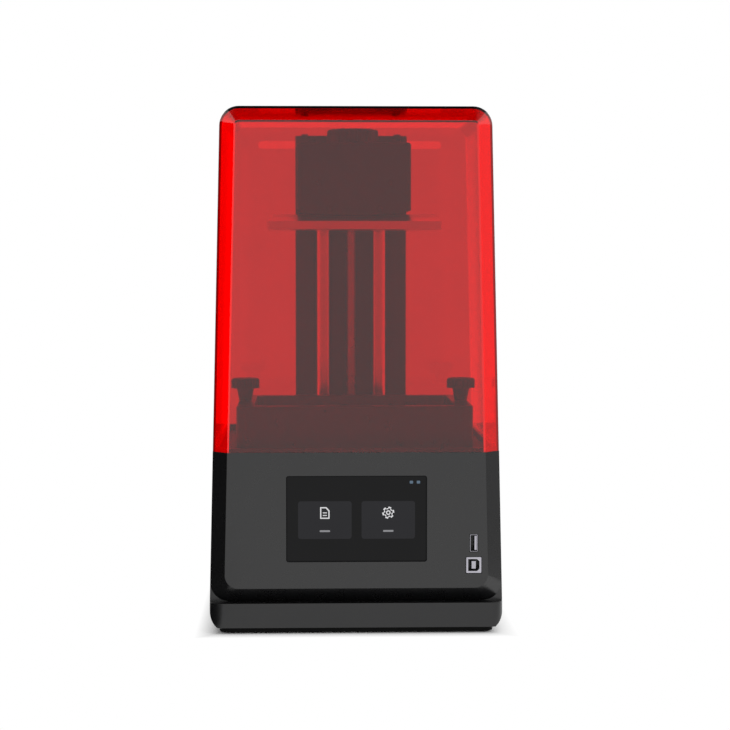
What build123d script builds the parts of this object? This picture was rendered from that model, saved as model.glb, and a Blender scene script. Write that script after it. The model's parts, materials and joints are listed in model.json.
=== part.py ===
from build123d import *
from math import cos, radians, sin, sqrt, tan
import os

# Desktop resin printer: a masked light engine under a clear-bottomed vat, a vertical
# screw drive behind it, and a tinted lift-off cover over both. Millimetres, +Z up,
# front towards -Y. The origin is the middle of the footprint, on the table.

# Outer body
BODY_WIDTH = 226.0  # across the sides at the top of the skirt
BODY_DEPTH = 226.0
BODY_HEIGHT = 404.0
SIDE_DRAFT = 1.36  # degrees that each side leans in on its way up
WALL = 3.0
FACE_BEVEL = 11.5  # 45 degree bevel that frames the flat front face
TOP_CORNER = 15.0  # radius of the cover's top corners, seen from the front
PANEL_CORNER = 15.0  # radius of the front panel's lower corners, behind its bevel
FACE_CORNER = 10.4  # radius of the same corners on the face itself
REAR_ROUND = 3.0

# Clearances and small features used all over
FIT = 0.3  # gap between pieces that don't move on each other
RUN_GAP = 0.05  # radial gap of a shaft in its bore
PRESS_GAP = 0.02  # radial gap of a pressed or clamped piece
THREAD_GAP = 0.1  # radial gap of a screw in its thread or hole
CUT = 1.0  # how far a cutting shape runs past what it cuts
SCREW_HEAD = 3.0
SCREW_HEAD_HEIGHT = 2.0
SCREW_SHANK = 1.5
SCREW_SOCKET = 1.5
SCREW_SOCKET_DEPTH = 1.0
BOLT_HEAD = 3.5
BOLT_HEAD_HEIGHT = 3.5
BOLT_SHANK = 2.0
BOLT_SOCKET = 1.7
BOLT_SOCKET_DEPTH = 2.0
BOSS_RADIUS = 3.5
BOARD_THICK = 1.6
PLATE_ROUND = 3.0  # corner radius of small plates and openings

# Levels
COVER_SEAM = 140.0  # where the cover stands on the base
SKIRT_TOP = 24.0
SKIRT_FOOT = 5.0
PLATE_FOOT = 1.0  # underside of the bottom plate

# Skirt, bottom plate and feet
SKIRT_CORNER = 15.0  # radius of the lower corners, seen from the front
SKIRT_SIDE_ROUND = 11.0  # radius of the upright front corners
SKIRT_SINK = 3.0  # how far the corners' arcs run below the skirt's foot
SKIRT_FLANGE = 16.5  # width of the frame that carries the base
PLATE_INSET_SIDE = 7.5
PLATE_INSET_END = 5.0
PLATE_CORNER = 8.0
VENT_ROWS = 9
VENT_PITCH = 8.0
VENT_WIDTH = 3.0
VENT_LENGTH = 80.0
FOOT_RADIUS = 10.0
FOOT_HEIGHT = 2.5
FOOT_INSET = 22.0
FOOT_CHAMFER = 0.6

# Cover
REAR_GROOVE_INSET = 33.0  # from the body's side to the groove's end
REAR_GROOVE_HEIGHT = 7.0
REAR_GROOVE_DEPTH = 1.2
REAR_GROOVE_DROP = 18.0  # from the cover's top to the groove's middle

# Base rim and deck
RIM_GAP = 0.5  # between the cover's inside and the rim that locates it
RIM_LIP = 2.5
RIM_LIP_HEIGHT = 3.0
LEDGE = 6.0  # width of the ledge that carries the deck
LEDGE_THICK = 4.0
DECK_THICK = 3.0
DECK_DROP = 2.0  # the deck's top lies this far below the seam

# Display
SCREEN_WIDTH = 108.0
SCREEN_HEIGHT = 66.4
SCREEN_DROP = 51.0  # from the seam down to the screen's middle
SCREEN_CORNER = 2.0
GLASS_BORDER = 5.0
GLASS_THICK = 1.2
GLASS_SKIN = 1.6  # what is left of the wall in front of the glass
MODULE_THICK = 5.2
MODULE_BORDER = 2.5
BRACKET_THICK = 1.5
BRACKET_MOUTH_WIDTH = 64.0
BRACKET_MOUTH_HEIGHT = 33.0
DISPLAY_BOSS_GAP = 1.5
DISPLAY_BOSS_DROP = 8.0

# Ports
PORT_INSET = 23.0  # from the body's side to the ports' middle
USB_A_DROP = 70.0  # from the seam down to the upright socket's middle
USB_A_WIDTH = 5.8
USB_A_LENGTH = 13.1
USB_A_DEPTH = 14.0
USB_A_TONGUE = 1.8
USB_A_TONGUE_GAP = 0.2
PORT_PITCH = 17.0
USB_B_WIDTH = 11.6
USB_B_HEIGHT = 12.2
USB_B_DEPTH = 16.0
USB_B_WALL = 1.5
USB_B_BEVEL = 1.8
USB_B_TONGUE_WIDTH = 3.2
USB_B_TONGUE_HEIGHT = 5.8
SHELL = 0.35
SHELL_CORNER = 0.6
PORT_GAP = 0.4
PORT_BOSS_GAP = 8.0
PORT_BOARD_WIDTH = 18.0

# Main board
BOARD_WIDTH = 120.0
BOARD_DEPTH = 76.0
BOARD_RISE = 8.0  # above the bottom plate
BOARD_REAR_GAP = 23.0
BOARD_HOLE_INSET = 5.0
CHIP_SIZE = 22.0
CHIP_HEIGHT = 2.0
CHIP_X = -14.0
COIL_SIZE = 14.0
COIL_HEIGHT = 6.0
COIL_X = 26.0
PARTS_Y = 5.0  # from the board's middle to its chip and coil
PLUG_COUNT = 5
PLUG_PITCH = 20.0
PLUG_WIDTH = 12.0
PLUG_DEPTH = 7.0
PLUG_HEIGHT = 8.0
PLUG_REAR_GAP = 3.5

# Rear fan
FAN_SIZE = 60.0
FAN_DEPTH = 15.0
FAN_INSET = 55.0  # from the body's side to the fan's axis
FAN_DROP = 56.0  # from the seam down to the fan's axis
FAN_BORE = 28.5
FAN_HUB = 12.0
FAN_AXLE = 1.5
FAN_SKIN = 2.0
FAN_SPOKES = 4
FAN_SPOKE = 3.0
FAN_BLADES = 7
BLADE_THICK = 1.2
BLADE_WIDTH = 12.5
BLADE_ANGLE = 38.0
BLADE_TIP_GAP = 1.0
BLADE_ROOT = 0.4  # how far a blade reaches into the hub
SLOT_ROWS = 9
SLOT_PITCH = 6.0
SLOT_WIDTH = 3.0

# Power switch and inlet
SERVICE_LEVEL = 50.0
SERVICE_RECESS = 5.0  # the inlet and switch lie this deep in the rear wall
SERVICE_MARGIN = 6.0
SERVICE_LIP = 1.5  # thickness of the switch's and inlet's outer flanges
JACK_INSET = 25.0  # from the body's side to the inlet's axis
SWITCH_JACK_PITCH = 28.0
SWITCH_WIDTH = 21.0
SWITCH_HEIGHT = 15.0
SWITCH_DEPTH = 16.0
SWITCH_LEDGE = 1.0  # what the wall's opening leaves for the flange to sit on
WELL_DEPTH = 7.0
ROCKER_RADIUS = 8.0  # the rocker's ends are arcs about its axle
ROCKER_HEIGHT = 9.0
ROCKER_TURN = 12.0  # degrees either side of level
ROCKER_BELOW = 3.0  # from the axle to the rocker's underside
ROCKER_ABOVE = 4.1  # from the axle to the ends of its vee
ROCKER_VEE = 1.0
ROCKER_SINK = 1.0  # the axle lies this far inside the wall's face
AXLE_RADIUS = 1.0
AXLE_GRIP = 1.0
JACK_RADIUS = 5.5
JACK_STEP = 1.2
JACK_BORE = 3.2
JACK_PIN = 1.05
JACK_DEPTH = 14.0
JACK_FLOOR = 2.0

# Vat
VAT_SIDE_GAP = 19.5  # from the body's side to the vat's end
VAT_REAR_GAP = 2.0  # from the vat to the column's foot
VAT_DEPTH = 126.0
VAT_HEIGHT = 34.0
VAT_CORNER = 9.0
VAT_CHAMFER = 1.0
VAT_END = 16.5  # from the vat's end to its pool
VAT_RIM = 11.0  # from the vat's long side to its pool
VAT_WALL = 4.0
VAT_FLANGE = 4.0
POOL_CORNER = 8.0
POOL_SLOPE = 2.5  # how far each wall leans out on its way up
FILM_THICK = 0.3
FRAME_THICK = 2.6
FRAME_LIP = 1.0  # thickness of the frame under the film
FRAME_LIP_REACH = 1.0  # how far that lip stands into the pool
FRAME_WALL = 1.2  # between the frame's recess and the clamp's hole
LUG_RADIUS = 8.0

# Clamp screws of the vat
CLAMP_INSET = 5.5  # from the vat's end to the clamp's axis
CLAMP_SHANK = 2.5
CLAMP_HEAD = 11.5
CLAMP_HEAD_HEIGHT = 8.0
CLAMP_HEAD_ROUND = 2.5
CLAMP_NECK_TOP = 7.0
CLAMP_NECK_LOW = 5.0
CLAMP_NECK_HEIGHT = 10.4
CLAMP_NOTCHES = 12
CLAMP_NOTCH = 1.4
CLAMP_NOTCH_OUT = 0.4
CLAMP_GRIP = 6.0  # how far the stud reaches into its head's neck
CLAMP_END_GAP = 1.0
INSERT_RADIUS = 5.0
INSERT_DEPTH = 10.0
INSERT_FLOOR = 1.0
INSERT_RIM = 1.5  # how far the insert's rim lies under the deck

# Light engine, centred under the vat
LCD_MARGIN = 4.0  # from the pool's edge to the panel's
LCD_THICK = 1.6
LCD_PROUD = 0.7  # how far the panel stands out of the deck
LIGHT_MARGIN = 7.0  # from the panel's edge to the lit area
LENS_THICK = 2.0
FUNNEL_WALL = 2.0
FUNNEL_HEIGHT = 60.0
LED_WIDTH = 84.0
LED_DEPTH = 56.0
LED_COLUMNS = 6
LED_ROWS = 4
LED_PITCH = 13.0
LED_SIZE = 5.0
LED_HEIGHT = 1.8
FLANGE = 8.0
SINK_HEIGHT = 26.0
SINK_BASE = 4.0
SINK_FINS = 12
SINK_FIN = 2.0

# Column
COLUMN_REAR_GAP = 7.0  # from the body's rear to the column
COLUMN_HEADROOM = 13.0  # from the cover's top to the column's
COLUMN_DEPTH = 46.0  # of its foot and cap
COLUMN_FOOT = 8.0
COLUMN_CAP = 8.0
CAP_ROUND = 6.0
POST_OUT = 47.3  # outer face of the column, from the middle
POST_DEPTH = 26.0
POST_LIP = 16.3
POST_WALL = 3.0
POST_SCREW_INSET = 8.0
CAP_SCREW_FRONT = 4.0
CAP_SCREW_REAR = 9.0
HOME_WIDTH = 12.0
HOME_DEPTH = 7.7
HOME_HEIGHT = 16.0
LEVER_WIDTH = 10.0
LEVER_THICK = 1.2
LEVER_LOW = 4.0
LEVER_HEIGHT = 11.0

# Screw drive
DRIVE_INSET = 9.5  # from the column foot's front to the screw's axis
ROD_SPREAD = 47.0
ROD_RADIUS = 6.0
ROD_SEAT = 6.0
SCREW_RADIUS = 4.0
SCREW_RELIEF = 1.5
BEARING_RADIUS = 8.0
BEARING_WIDTH = 5.0
MOTOR_SIZE = 42.3
MOTOR_HEIGHT = 38.0
MOTOR_CHAMFER = 4.0
MOTOR_END_LOW = 10.0
MOTOR_END_TOP = 9.0
MOTOR_STEP = 0.5
MOTOR_PILOT = 11.0
MOTOR_PILOT_HEIGHT = 2.0
MOTOR_SCREWS = 31.0
MOTOR_DROP = 32.0  # from the deck's underside to the motor plate
MOTOR_PLATE = 3.0
MOTOR_BORE_FLOOR = 5.0
MOTOR_SHAFT = 2.5
SHAFT_TAIL_GAP = 1.0
STANDOFF_X = 25.0
STANDOFF_Y = 20.5
COUPLER_RADIUS = 9.0
COUPLER_LENGTH = 24.0
COUPLER_LIFT = 2.0  # from the motor plate to the coupler
COUPLER_SLITS = 4
COUPLER_SLIT = 1.0
COUPLER_SLIT_PITCH = 2.4
COUPLER_SLIT_DEPTH = 1.5

# Carriage and arm
CARRIAGE_HEADROOM = 2.0  # from the column's cap to the carriage at the top
CARRIAGE_HEIGHT = 39.0
CARRIAGE_WIDTH = 90.0
CARRIAGE_DEPTH = 18.4
CARRIAGE_ROUND = 3.0
BUSH_RADIUS = 8.0
BUSH_LENGTH = 12.0
BORE_RELIEF = 0.5
NUT_RADIUS = 5.1
NUT_FLANGE = 11.0
NUT_FLANGE_THICK = 3.5
NUT_LENGTH = 10.0
ARM_DROP = 7.0  # from the carriage's top to the arm's
ARM_WIDTH = 54.0
ARM_HEIGHT = 26.0
ARM_REACH = 64.0
ARM_WALL = 5.0
ARM_BAYS = 3
ARM_CHAMFER = 1.5
ARM_FLANGE = 6.0
ARM_FLANGE_WIDTH = 86.0
ARM_FLANGE_SKIRT = 2.0
ARM_FLANGE_ROUND = 4.0
ARM_SCREW_INSET = 7.0

# Platform holder and its knob
HOLDER_WIDTH = 91.0
HOLDER_AHEAD = 34.0  # in front of the vat's middle
HOLDER_BEHIND = 40.0
HOLDER_ROOF = 6.0  # above the arm
HOLDER_UNDER = 22.0  # below the arm
HOLDER_ROUND = 4.0
HOLDER_CHAMFER = 1.5
ARM_END_GAP = 2.0
APRON_DROP = 4.4
APRON_BULGE = 1.6
APRON_THICK = 4.0
APRON_OVERLAP = 2.0
POCKET_DEPTH = 14.0
POCKET_WALL = 6.0
POCKET_SIDE = 18.0
LEVEL_SCREW_X = 34.0
LEVEL_SCREW_Y = 20.0
FACE_SCREW_UPPER_X = 28.8
FACE_SCREW_UPPER_DROP = 32.5
FACE_SCREW_LOWER_X = 20.0
FACE_SCREW_LOWER_RISE = 1.0
KNOB_RADIUS = 21.0
KNOB_HEIGHT = 12.7
KNOB_ROUND = 2.5
KNOB_LOBES = 8
KNOB_SCALLOP = 5.5
KNOB_SCALLOP_OUT = 2.5
KNOB_BEHIND = 17.0  # behind the vat's middle
KNOB_STEM = 4.0

# Ball joint and build plate
PLATE_MARGIN = 8.0  # from the pool's edge to the plate's
PLATE_GAP = 3.0  # from the plate's ridge to the holder
PLATE_EDGE = 6.5
PLATE_RISE = 5.5
PLATE_SLOPE_END = 22.0
PLATE_SLOPE_SIDE = 5.0
PLATE_EDGE_ROUND = 1.5
BALL_RADIUS = 10.0
BALL_RISE = 10.0
POST_DISC = 18.0
POST_DISC_HEIGHT = 4.0
POST_CONE_LOW = 16.0
POST_CONE_TOP = 7.0
POST_CONE_HEIGHT = 3.0
HOME_GAP = 0.3  # between the build plate and the film at the bottom of its travel

# Places that follow from the body and the seam
FRONT_Y = -BODY_DEPTH / 2
REAR_Y = BODY_DEPTH / 2
FACE_IN = FRONT_Y + WALL
GLASS_FACE = FRONT_Y + GLASS_SKIN
DECK_TOP = COVER_SEAM - DECK_DROP
DECK_LOW = DECK_TOP - DECK_THICK
SCREEN_LEVEL = COVER_SEAM - SCREEN_DROP
PORT_X = BODY_WIDTH / 2 - PORT_INSET
USB_A_LEVEL = COVER_SEAM - USB_A_DROP
USB_B_LEVEL = USB_A_LEVEL - PORT_PITCH
BOARD_LEVEL = SKIRT_FOOT + BOARD_RISE
BOARD_Y = REAR_Y - BOARD_REAR_GAP - BOARD_DEPTH / 2
FAN_X = -(BODY_WIDTH / 2 - FAN_INSET)
FAN_LEVEL = COVER_SEAM - FAN_DROP
SERVICE_FACE = REAR_Y - SERVICE_RECESS
JACK_X = BODY_WIDTH / 2 - JACK_INSET
SWITCH_X = JACK_X - SWITCH_JACK_PITCH
AXLE_Y = SERVICE_FACE - ROCKER_SINK
OFFSET_LOSS = 2 - sqrt(2)  # what an inward offset takes off a 45 degree bevel's leg

# Column and drive, from the rear wall and the cover's top
POST_REAR = REAR_Y - COLUMN_REAR_GAP
POST_FRONT = POST_REAR - POST_DEPTH
COLUMN_FRONT = POST_REAR - COLUMN_DEPTH
COLUMN_MIDDLE = (POST_REAR + COLUMN_FRONT) / 2
COLUMN_TOP = BODY_HEIGHT - COLUMN_HEADROOM
CAP_LOW = COLUMN_TOP - COLUMN_CAP
FOOT_TOP = DECK_TOP + COLUMN_FOOT
DRIVE_Y = COLUMN_FRONT + DRIVE_INSET
ROD_X = ROD_SPREAD / 2
MOTOR_TOP = DECK_LOW - MOTOR_DROP
BRACKET_TOP = MOTOR_TOP + MOTOR_PLATE
COUPLER_LOW = BRACKET_TOP + COUPLER_LIFT
COUPLER_TOP = COUPLER_LOW + COUPLER_LENGTH
SHAFT_JOIN = COUPLER_LOW + COUPLER_LENGTH / 2

# Vat and light engine, from the column and the body's sides
VAT_Y = COLUMN_FRONT - VAT_REAR_GAP - VAT_DEPTH / 2
VAT_TOP = DECK_TOP + VAT_HEIGHT
VAT_WIDTH = BODY_WIDTH - 2 * VAT_SIDE_GAP
CLAMP_X = VAT_WIDTH / 2 - CLAMP_INSET
POOL_WIDTH = VAT_WIDTH - 2 * VAT_END
POOL_DEPTH = VAT_DEPTH - 2 * VAT_RIM
FRAME_WIDTH = VAT_END - CLAMP_INSET - CLAMP_SHANK - FIT - FRAME_WALL
FILM_LOW = DECK_TOP + FRAME_LIP
FILM_TOP = FILM_LOW + FILM_THICK
FRAME_TOP = DECK_TOP + FRAME_THICK
LCD_WIDTH = POOL_WIDTH - 2 * LCD_MARGIN
LCD_DEPTH = POOL_DEPTH - 2 * LCD_MARGIN
LCD_TOP = DECK_TOP + LCD_PROUD
LIGHT_WIDTH = LCD_WIDTH - 2 * LIGHT_MARGIN
LIGHT_DEPTH = LCD_DEPTH - 2 * LIGHT_MARGIN
FUNNEL_TOP = DECK_LOW - LENS_THICK
FUNNEL_LOW = FUNNEL_TOP - FUNNEL_HEIGHT

# Carriage, arm and platform at the top of their travel, from the column's cap
CARRIAGE_TOP = CAP_LOW - CARRIAGE_HEADROOM
CARRIAGE_LOW = CARRIAGE_TOP - CARRIAGE_HEIGHT
ARM_ROOT = COLUMN_FRONT - ARM_FLANGE
ARM_FRONT = ARM_ROOT - ARM_REACH
ARM_HALF = ARM_WIDTH / 2
ARM_TOP = CARRIAGE_TOP - ARM_DROP
ARM_LOW = ARM_TOP - ARM_HEIGHT
HOLDER_HALF = HOLDER_WIDTH / 2
HOLDER_FRONT = VAT_Y - HOLDER_AHEAD
HOLDER_REAR = VAT_Y + HOLDER_BEHIND
HOLDER_TOP = ARM_TOP + HOLDER_ROOF
HOLDER_LOW = ARM_LOW - HOLDER_UNDER
KNOB_Y = VAT_Y + KNOB_BEHIND
PLATE_WIDTH = POOL_WIDTH - 2 * PLATE_MARGIN
PLATE_DEPTH = POOL_DEPTH - 2 * PLATE_MARGIN
PLATE_TOP = HOLDER_LOW - PLATE_GAP
PLATE_SHOULDER = PLATE_TOP - PLATE_RISE
PLATE_LOW = PLATE_SHOULDER - PLATE_EDGE
BALL_LEVEL = PLATE_TOP + BALL_RISE
TRAVEL = PLATE_LOW - FILM_TOP - HOME_GAP


def half_width(level):
    """Half the body's width at a level, with the sides' draft."""
    return BODY_WIDTH / 2 - (level - SKIRT_TOP) * tan(radians(SIDE_DRAFT))


def block(x0, x1, y0, y1, z0, z1):
    """A box between two corners."""
    return Pos((x0 + x1) / 2, (y0 + y1) / 2, (z0 + z1) / 2) * Box(x1 - x0, y1 - y0, z1 - z0)


def centred(x, y, width, depth, z0, z1, corner=0.0):
    """An upright block about a point of the plan, with rounded upright corners."""
    outline = RectangleRounded(width, depth, corner) if corner else Rectangle(width, depth)
    return extrude(Pos(x, y, z0) * outline, amount=z1 - z0)


def upright(x, y, z0, z1, radius):
    """A round bar along Z."""
    return Pos(x, y, (z0 + z1) / 2) * Cylinder(radius, z1 - z0)


def facing(x, z, y0, y1, radius):
    """A round bar along Y."""
    return Pos(x, (y0 + y1) / 2, z) * Rot(90, 0, 0) * Cylinder(radius, y1 - y0)


def along_y(outline, y0, y1):
    """A front-view outline carried from y0 back to y1."""
    back = Plane((0, y1, 0), x_dir=(1, 0, 0), z_dir=(0, -1, 0))
    return extrude(back * outline, amount=y1 - y0)


def window(x, z, width, height, y0, y1, corner=0.0):
    """A front-view rectangle carried from y0 back to y1."""
    outline = RectangleRounded(width, height, corner) if corner else Rectangle(width, height)
    return along_y(Pos(x, z) * outline, y0, y1)


def four_places(reach_x, reach_y, x=0.0, y=0.0):
    """The corners of a rectangle about a point."""
    return [(x + sx * reach_x, y + sy * reach_y) for sx in (-1, 1) for sy in (-1, 1)]


def socket_screw(x, y, low, head_low):
    """A socket-head bolt that stands on a level, with its shank reaching down."""
    top = head_low + BOLT_HEAD_HEIGHT
    bolt = upright(x, y, low, head_low, BOLT_SHANK) + upright(x, y, head_low, top, BOLT_HEAD)
    return bolt - upright(x, y, top - BOLT_SOCKET_DEPTH, top + CUT, BOLT_SOCKET)


def side_profile(inset, low, high):
    """The body seen from the front between two levels: straight sides with draft."""
    wide = half_width(low) - inset
    narrow = half_width(high) - inset
    return Polygon((-wide, low), (wide, low), (narrow, high), (-narrow, high), align=None)


def plan_outline(inset, level):
    """The body seen from above at a level: a rectangle with its two front corners bevelled."""
    half = half_width(level) - inset
    front = FRONT_Y + inset
    rear = REAR_Y - inset
    leg = FACE_BEVEL - OFFSET_LOSS * inset
    return Polygon(
        (-half + leg, front), (half - leg, front), (half, front + leg), (half, rear),
        (-half, rear), (-half, front + leg), align=None,
    )


def plan_plate(inset, level, z0, z1):
    """A plate of the body's plan."""
    return extrude(Pos(0, 0, z0) * plan_outline(inset, level), amount=z1 - z0)


def group(shapes):
    """Separate solids of one node."""
    return Compound(children=list(shapes))


# Cover: one tinted moulding, drafted, with the face's bevel carried over its top


def cover_form(inset):
    """The cover's outside, or its inside when inset by the wall."""
    low = COVER_SEAM - (CUT if inset else 0.0)
    outline = side_profile(inset, low, BODY_HEIGHT - inset)
    outline = fillet(outline.vertices().sort_by(Axis.Y)[-2:], TOP_CORNER - inset)
    form = along_y(outline, FRONT_Y + inset, REAR_Y - inset)
    face = form.faces().sort_by(Axis.Y)[0]
    framed = [e for e in face.edges() if e.center().Z > low + FIT]
    form = chamfer(framed, FACE_BEVEL - OFFSET_LOSS * inset)
    back = form.faces().sort_by(Axis.Y)[-1]
    rounded = [e for e in back.edges() if e.center().Z > low + FIT]
    return fillet(rounded, REAR_ROUND - inset / 2)


def make_cover():
    shell = cover_form(0.0) - cover_form(WALL)
    return shell - window(
        0, BODY_HEIGHT - REAR_GROOVE_DROP, BODY_WIDTH - 2 * REAR_GROOVE_INSET,
        REAR_GROOVE_HEIGHT, REAR_Y - REAR_GROOVE_DEPTH, REAR_Y + CUT,
        REAR_GROOVE_HEIGHT / 2 - PRESS_GAP,
    )


# Base housing: the bevelled front panel, the rim under the cover and the service cut-outs


def panel_outline(inset, low, high, corner):
    """The panel seen from the front, with its two lower corners rounded."""
    outline = side_profile(inset, low, high)
    return fillet(outline.vertices().sort_by(Axis.Y)[:2], corner)


def panel_form(inset, low, high, rear):
    """The proud front panel: its face, a bevel round three sides and its edge behind."""
    leg = FACE_BEVEL - OFFSET_LOSS * inset
    face_y = FRONT_Y + inset
    edge_y = face_y + leg
    edge = panel_outline(inset, low, high, PANEL_CORNER - inset)
    face = panel_outline(inset + leg, low + leg, high, FACE_CORNER - inset)
    front = Plane((0, face_y, 0), x_dir=(1, 0, 0), z_dir=(0, -1, 0))
    back = Plane((0, edge_y, 0), x_dir=(1, 0, 0), z_dir=(0, -1, 0))
    return loft([front * face, back * edge], ruled=True) + along_y(edge, edge_y, rear)


def base_form(inset, low, panel_low):
    """The base's outside or inside: a drafted block with the panel in front."""
    high = COVER_SEAM + (CUT if inset else 0.0)
    shoulder = FRONT_Y + FACE_BEVEL + inset
    body = along_y(side_profile(inset, low, high), shoulder, REAR_Y - inset)
    return body + panel_form(inset, panel_low, high, shoulder + WALL)


def display_bosses():
    """Where the display's bracket is screwed to the back of the front panel."""
    reach_x = SCREEN_WIDTH / 2 + GLASS_BORDER + BOSS_RADIUS + DISPLAY_BOSS_GAP
    reach_z = SCREEN_HEIGHT / 2 - DISPLAY_BOSS_DROP
    return four_places(reach_x, reach_z, 0.0, SCREEN_LEVEL)


def port_bosses():
    """Where the port board is screwed to the back of the front panel."""
    upper = USB_A_LEVEL + USB_A_LENGTH / 2 + PORT_BOSS_GAP
    lower = USB_B_LEVEL - USB_B_HEIGHT / 2 - PORT_BOSS_GAP
    return [(PORT_X, upper), (PORT_X, lower)]


def fan_slots():
    """Rows of slots in the rear wall behind the fan, shorter towards its edge."""
    slots = []
    for row in range(SLOT_ROWS):
        offset = (row - (SLOT_ROWS - 1) / 2) * SLOT_PITCH
        length = 2 * sqrt((FAN_BORE - CUT) ** 2 - offset**2)
        slots.append(window(
            FAN_X, FAN_LEVEL + offset, length, SLOT_WIDTH, REAR_Y - WALL - CUT, REAR_Y + CUT
        ))
    return slots


def front_openings():
    """The screen's window with the glass's seat behind it, and the two ports."""
    seat = 2 * (GLASS_BORDER + FIT)
    yield window(
        0, SCREEN_LEVEL, SCREEN_WIDTH, SCREEN_HEIGHT, FRONT_Y - CUT, FACE_IN + CUT, SCREEN_CORNER
    )
    yield window(
        0, SCREEN_LEVEL, SCREEN_WIDTH + seat, SCREEN_HEIGHT + seat, GLASS_FACE, FACE_IN + CUT
    )
    for level, width, height in (
        (USB_A_LEVEL, USB_A_WIDTH, USB_A_LENGTH), (USB_B_LEVEL, USB_B_WIDTH, USB_B_HEIGHT)
    ):
        yield window(
            PORT_X, level, width + 2 * PORT_GAP, height + 2 * PORT_GAP, FRONT_Y - CUT, FACE_IN + CUT
        )


def add_service_panel(housing):
    """A shallow tray in the rear wall that the power inlet and the switch sit in."""
    left = SWITCH_X - SWITCH_WIDTH / 2 - SERVICE_MARGIN
    right = JACK_X + JACK_RADIUS + SERVICE_MARGIN
    middle = (left + right) / 2
    width = right - left
    height = SWITCH_HEIGHT + 2 * SERVICE_MARGIN
    inner = SERVICE_FACE - WALL
    housing += window(
        middle, SERVICE_LEVEL, width + 2 * WALL, height + 2 * WALL, inner, REAR_Y - WALL / 2
    )
    housing -= window(
        middle, SERVICE_LEVEL, width, height, SERVICE_FACE, REAR_Y + CUT, PLATE_ROUND
    )
    housing -= window(
        SWITCH_X, SERVICE_LEVEL, SWITCH_WIDTH - 2 * SWITCH_LEDGE, SWITCH_HEIGHT - 2 * SWITCH_LEDGE,
        inner - CUT, SERVICE_FACE + CUT,
    )
    bore = JACK_RADIUS - JACK_STEP + THREAD_GAP
    return housing - facing(JACK_X, SERVICE_LEVEL, inner - CUT, SERVICE_FACE + CUT, bore)


def make_base_housing():
    rim_inset = WALL + RIM_GAP
    deck_inset = rim_inset + RIM_LIP
    rim_top = COVER_SEAM + RIM_LIP_HEIGHT
    ledge_low = DECK_LOW - LEDGE_THICK
    housing = base_form(0.0, SKIRT_TOP, SKIRT_TOP)
    housing += plan_plate(rim_inset, COVER_SEAM, COVER_SEAM - CUT, rim_top)
    cavity = base_form(WALL, SKIRT_TOP - CUT, SKIRT_TOP + WALL)
    cavity -= block(-BODY_WIDTH, BODY_WIDTH, FRONT_Y, REAR_Y, ledge_low, BODY_HEIGHT)
    housing -= cavity
    housing -= plan_plate(deck_inset + LEDGE, COVER_SEAM, ledge_low - CUT, DECK_LOW + CUT)
    housing -= plan_plate(deck_inset, COVER_SEAM, DECK_LOW, rim_top + CUT)
    bracket_y = GLASS_FACE + GLASS_THICK + MODULE_THICK
    for x, z in display_bosses():
        housing += facing(x, z, FACE_IN, bracket_y, BOSS_RADIUS)
    for x, z in port_bosses():
        housing += facing(x, z, FACE_IN, FRONT_Y + FIT + USB_A_DEPTH, BOSS_RADIUS)
    for opening in front_openings():
        housing -= opening
    for slot in fan_slots():
        housing -= slot
    return add_service_panel(housing)


# Skirt, bottom plate and feet


def skirt_form(inset):
    """The skirt: rounded lower corners from the front, rounded upright corners from above."""
    half = BODY_WIDTH / 2 - inset
    low = SKIRT_FOOT - SKIRT_SINK + inset
    outline = Polygon(
        (-half, low), (half, low), (half, SKIRT_TOP), (-half, SKIRT_TOP), align=None
    )
    outline = fillet(outline.vertices().sort_by(Axis.Y)[:2], SKIRT_CORNER - inset)
    form = along_y(outline, FRONT_Y + inset, REAR_Y - inset)
    plan = Rectangle(2 * half, BODY_DEPTH - 2 * inset)
    plan = fillet(plan.vertices().sort_by(Axis.Y)[:2], SKIRT_SIDE_ROUND - inset)
    plan = fillet(plan.vertices().sort_by(Axis.Y)[-2:], REAR_ROUND)
    return form & extrude(plan, amount=SKIRT_TOP)


def make_skirt():
    inner_low = SKIRT_FOOT + WALL
    skirt = skirt_form(0.0)
    skirt -= block(-BODY_WIDTH, BODY_WIDTH, FRONT_Y, REAR_Y, -CUT, SKIRT_FOOT)
    skirt -= skirt_form(WALL) & block(
        -BODY_WIDTH, BODY_WIDTH, FRONT_Y, REAR_Y, inner_low, SKIRT_TOP - WALL
    )
    skirt -= centred(
        0, 0, BODY_WIDTH - 2 * SKIRT_FLANGE, BODY_DEPTH - 2 * SKIRT_FLANGE, SKIRT_FOOT,
        SKIRT_TOP + CUT, 2 * PLATE_ROUND,
    )
    side = PLATE_INSET_SIDE + WALL
    end = PLATE_INSET_END + WALL
    return skirt - centred(
        0, 0, BODY_WIDTH - 2 * side, BODY_DEPTH - 2 * end, SKIRT_FOOT - CUT, inner_low + CUT
    )


def foot_places():
    reach_x = BODY_WIDTH / 2 - PLATE_INSET_SIDE - FOOT_INSET
    reach_y = BODY_DEPTH / 2 - PLATE_INSET_END - FOOT_INSET
    return four_places(reach_x, reach_y)


def make_bottom_plate():
    width = BODY_WIDTH - 2 * PLATE_INSET_SIDE
    depth = BODY_DEPTH - 2 * PLATE_INSET_END
    plate = centred(0, 0, width, depth, PLATE_FOOT, SKIRT_FOOT, PLATE_CORNER)
    for x, y in foot_places():
        plate -= upright(x, y, PLATE_FOOT - CUT, FOOT_HEIGHT, FOOT_RADIUS + THREAD_GAP)
    for row in range(VENT_ROWS):
        y = (row - (VENT_ROWS - 1) / 2) * VENT_PITCH
        plate -= centred(0, y, VENT_LENGTH, VENT_WIDTH, PLATE_FOOT - CUT, SKIRT_FOOT + CUT)
    return plate


def make_rubber_feet():
    feet = []
    for x, y in foot_places():
        foot = upright(x, y, 0, FOOT_HEIGHT, FOOT_RADIUS)
        feet.append(chamfer(foot.edges().sort_by(Axis.Z)[:1], FOOT_CHAMFER))
    return group(feet)


# Deck and light engine


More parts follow.
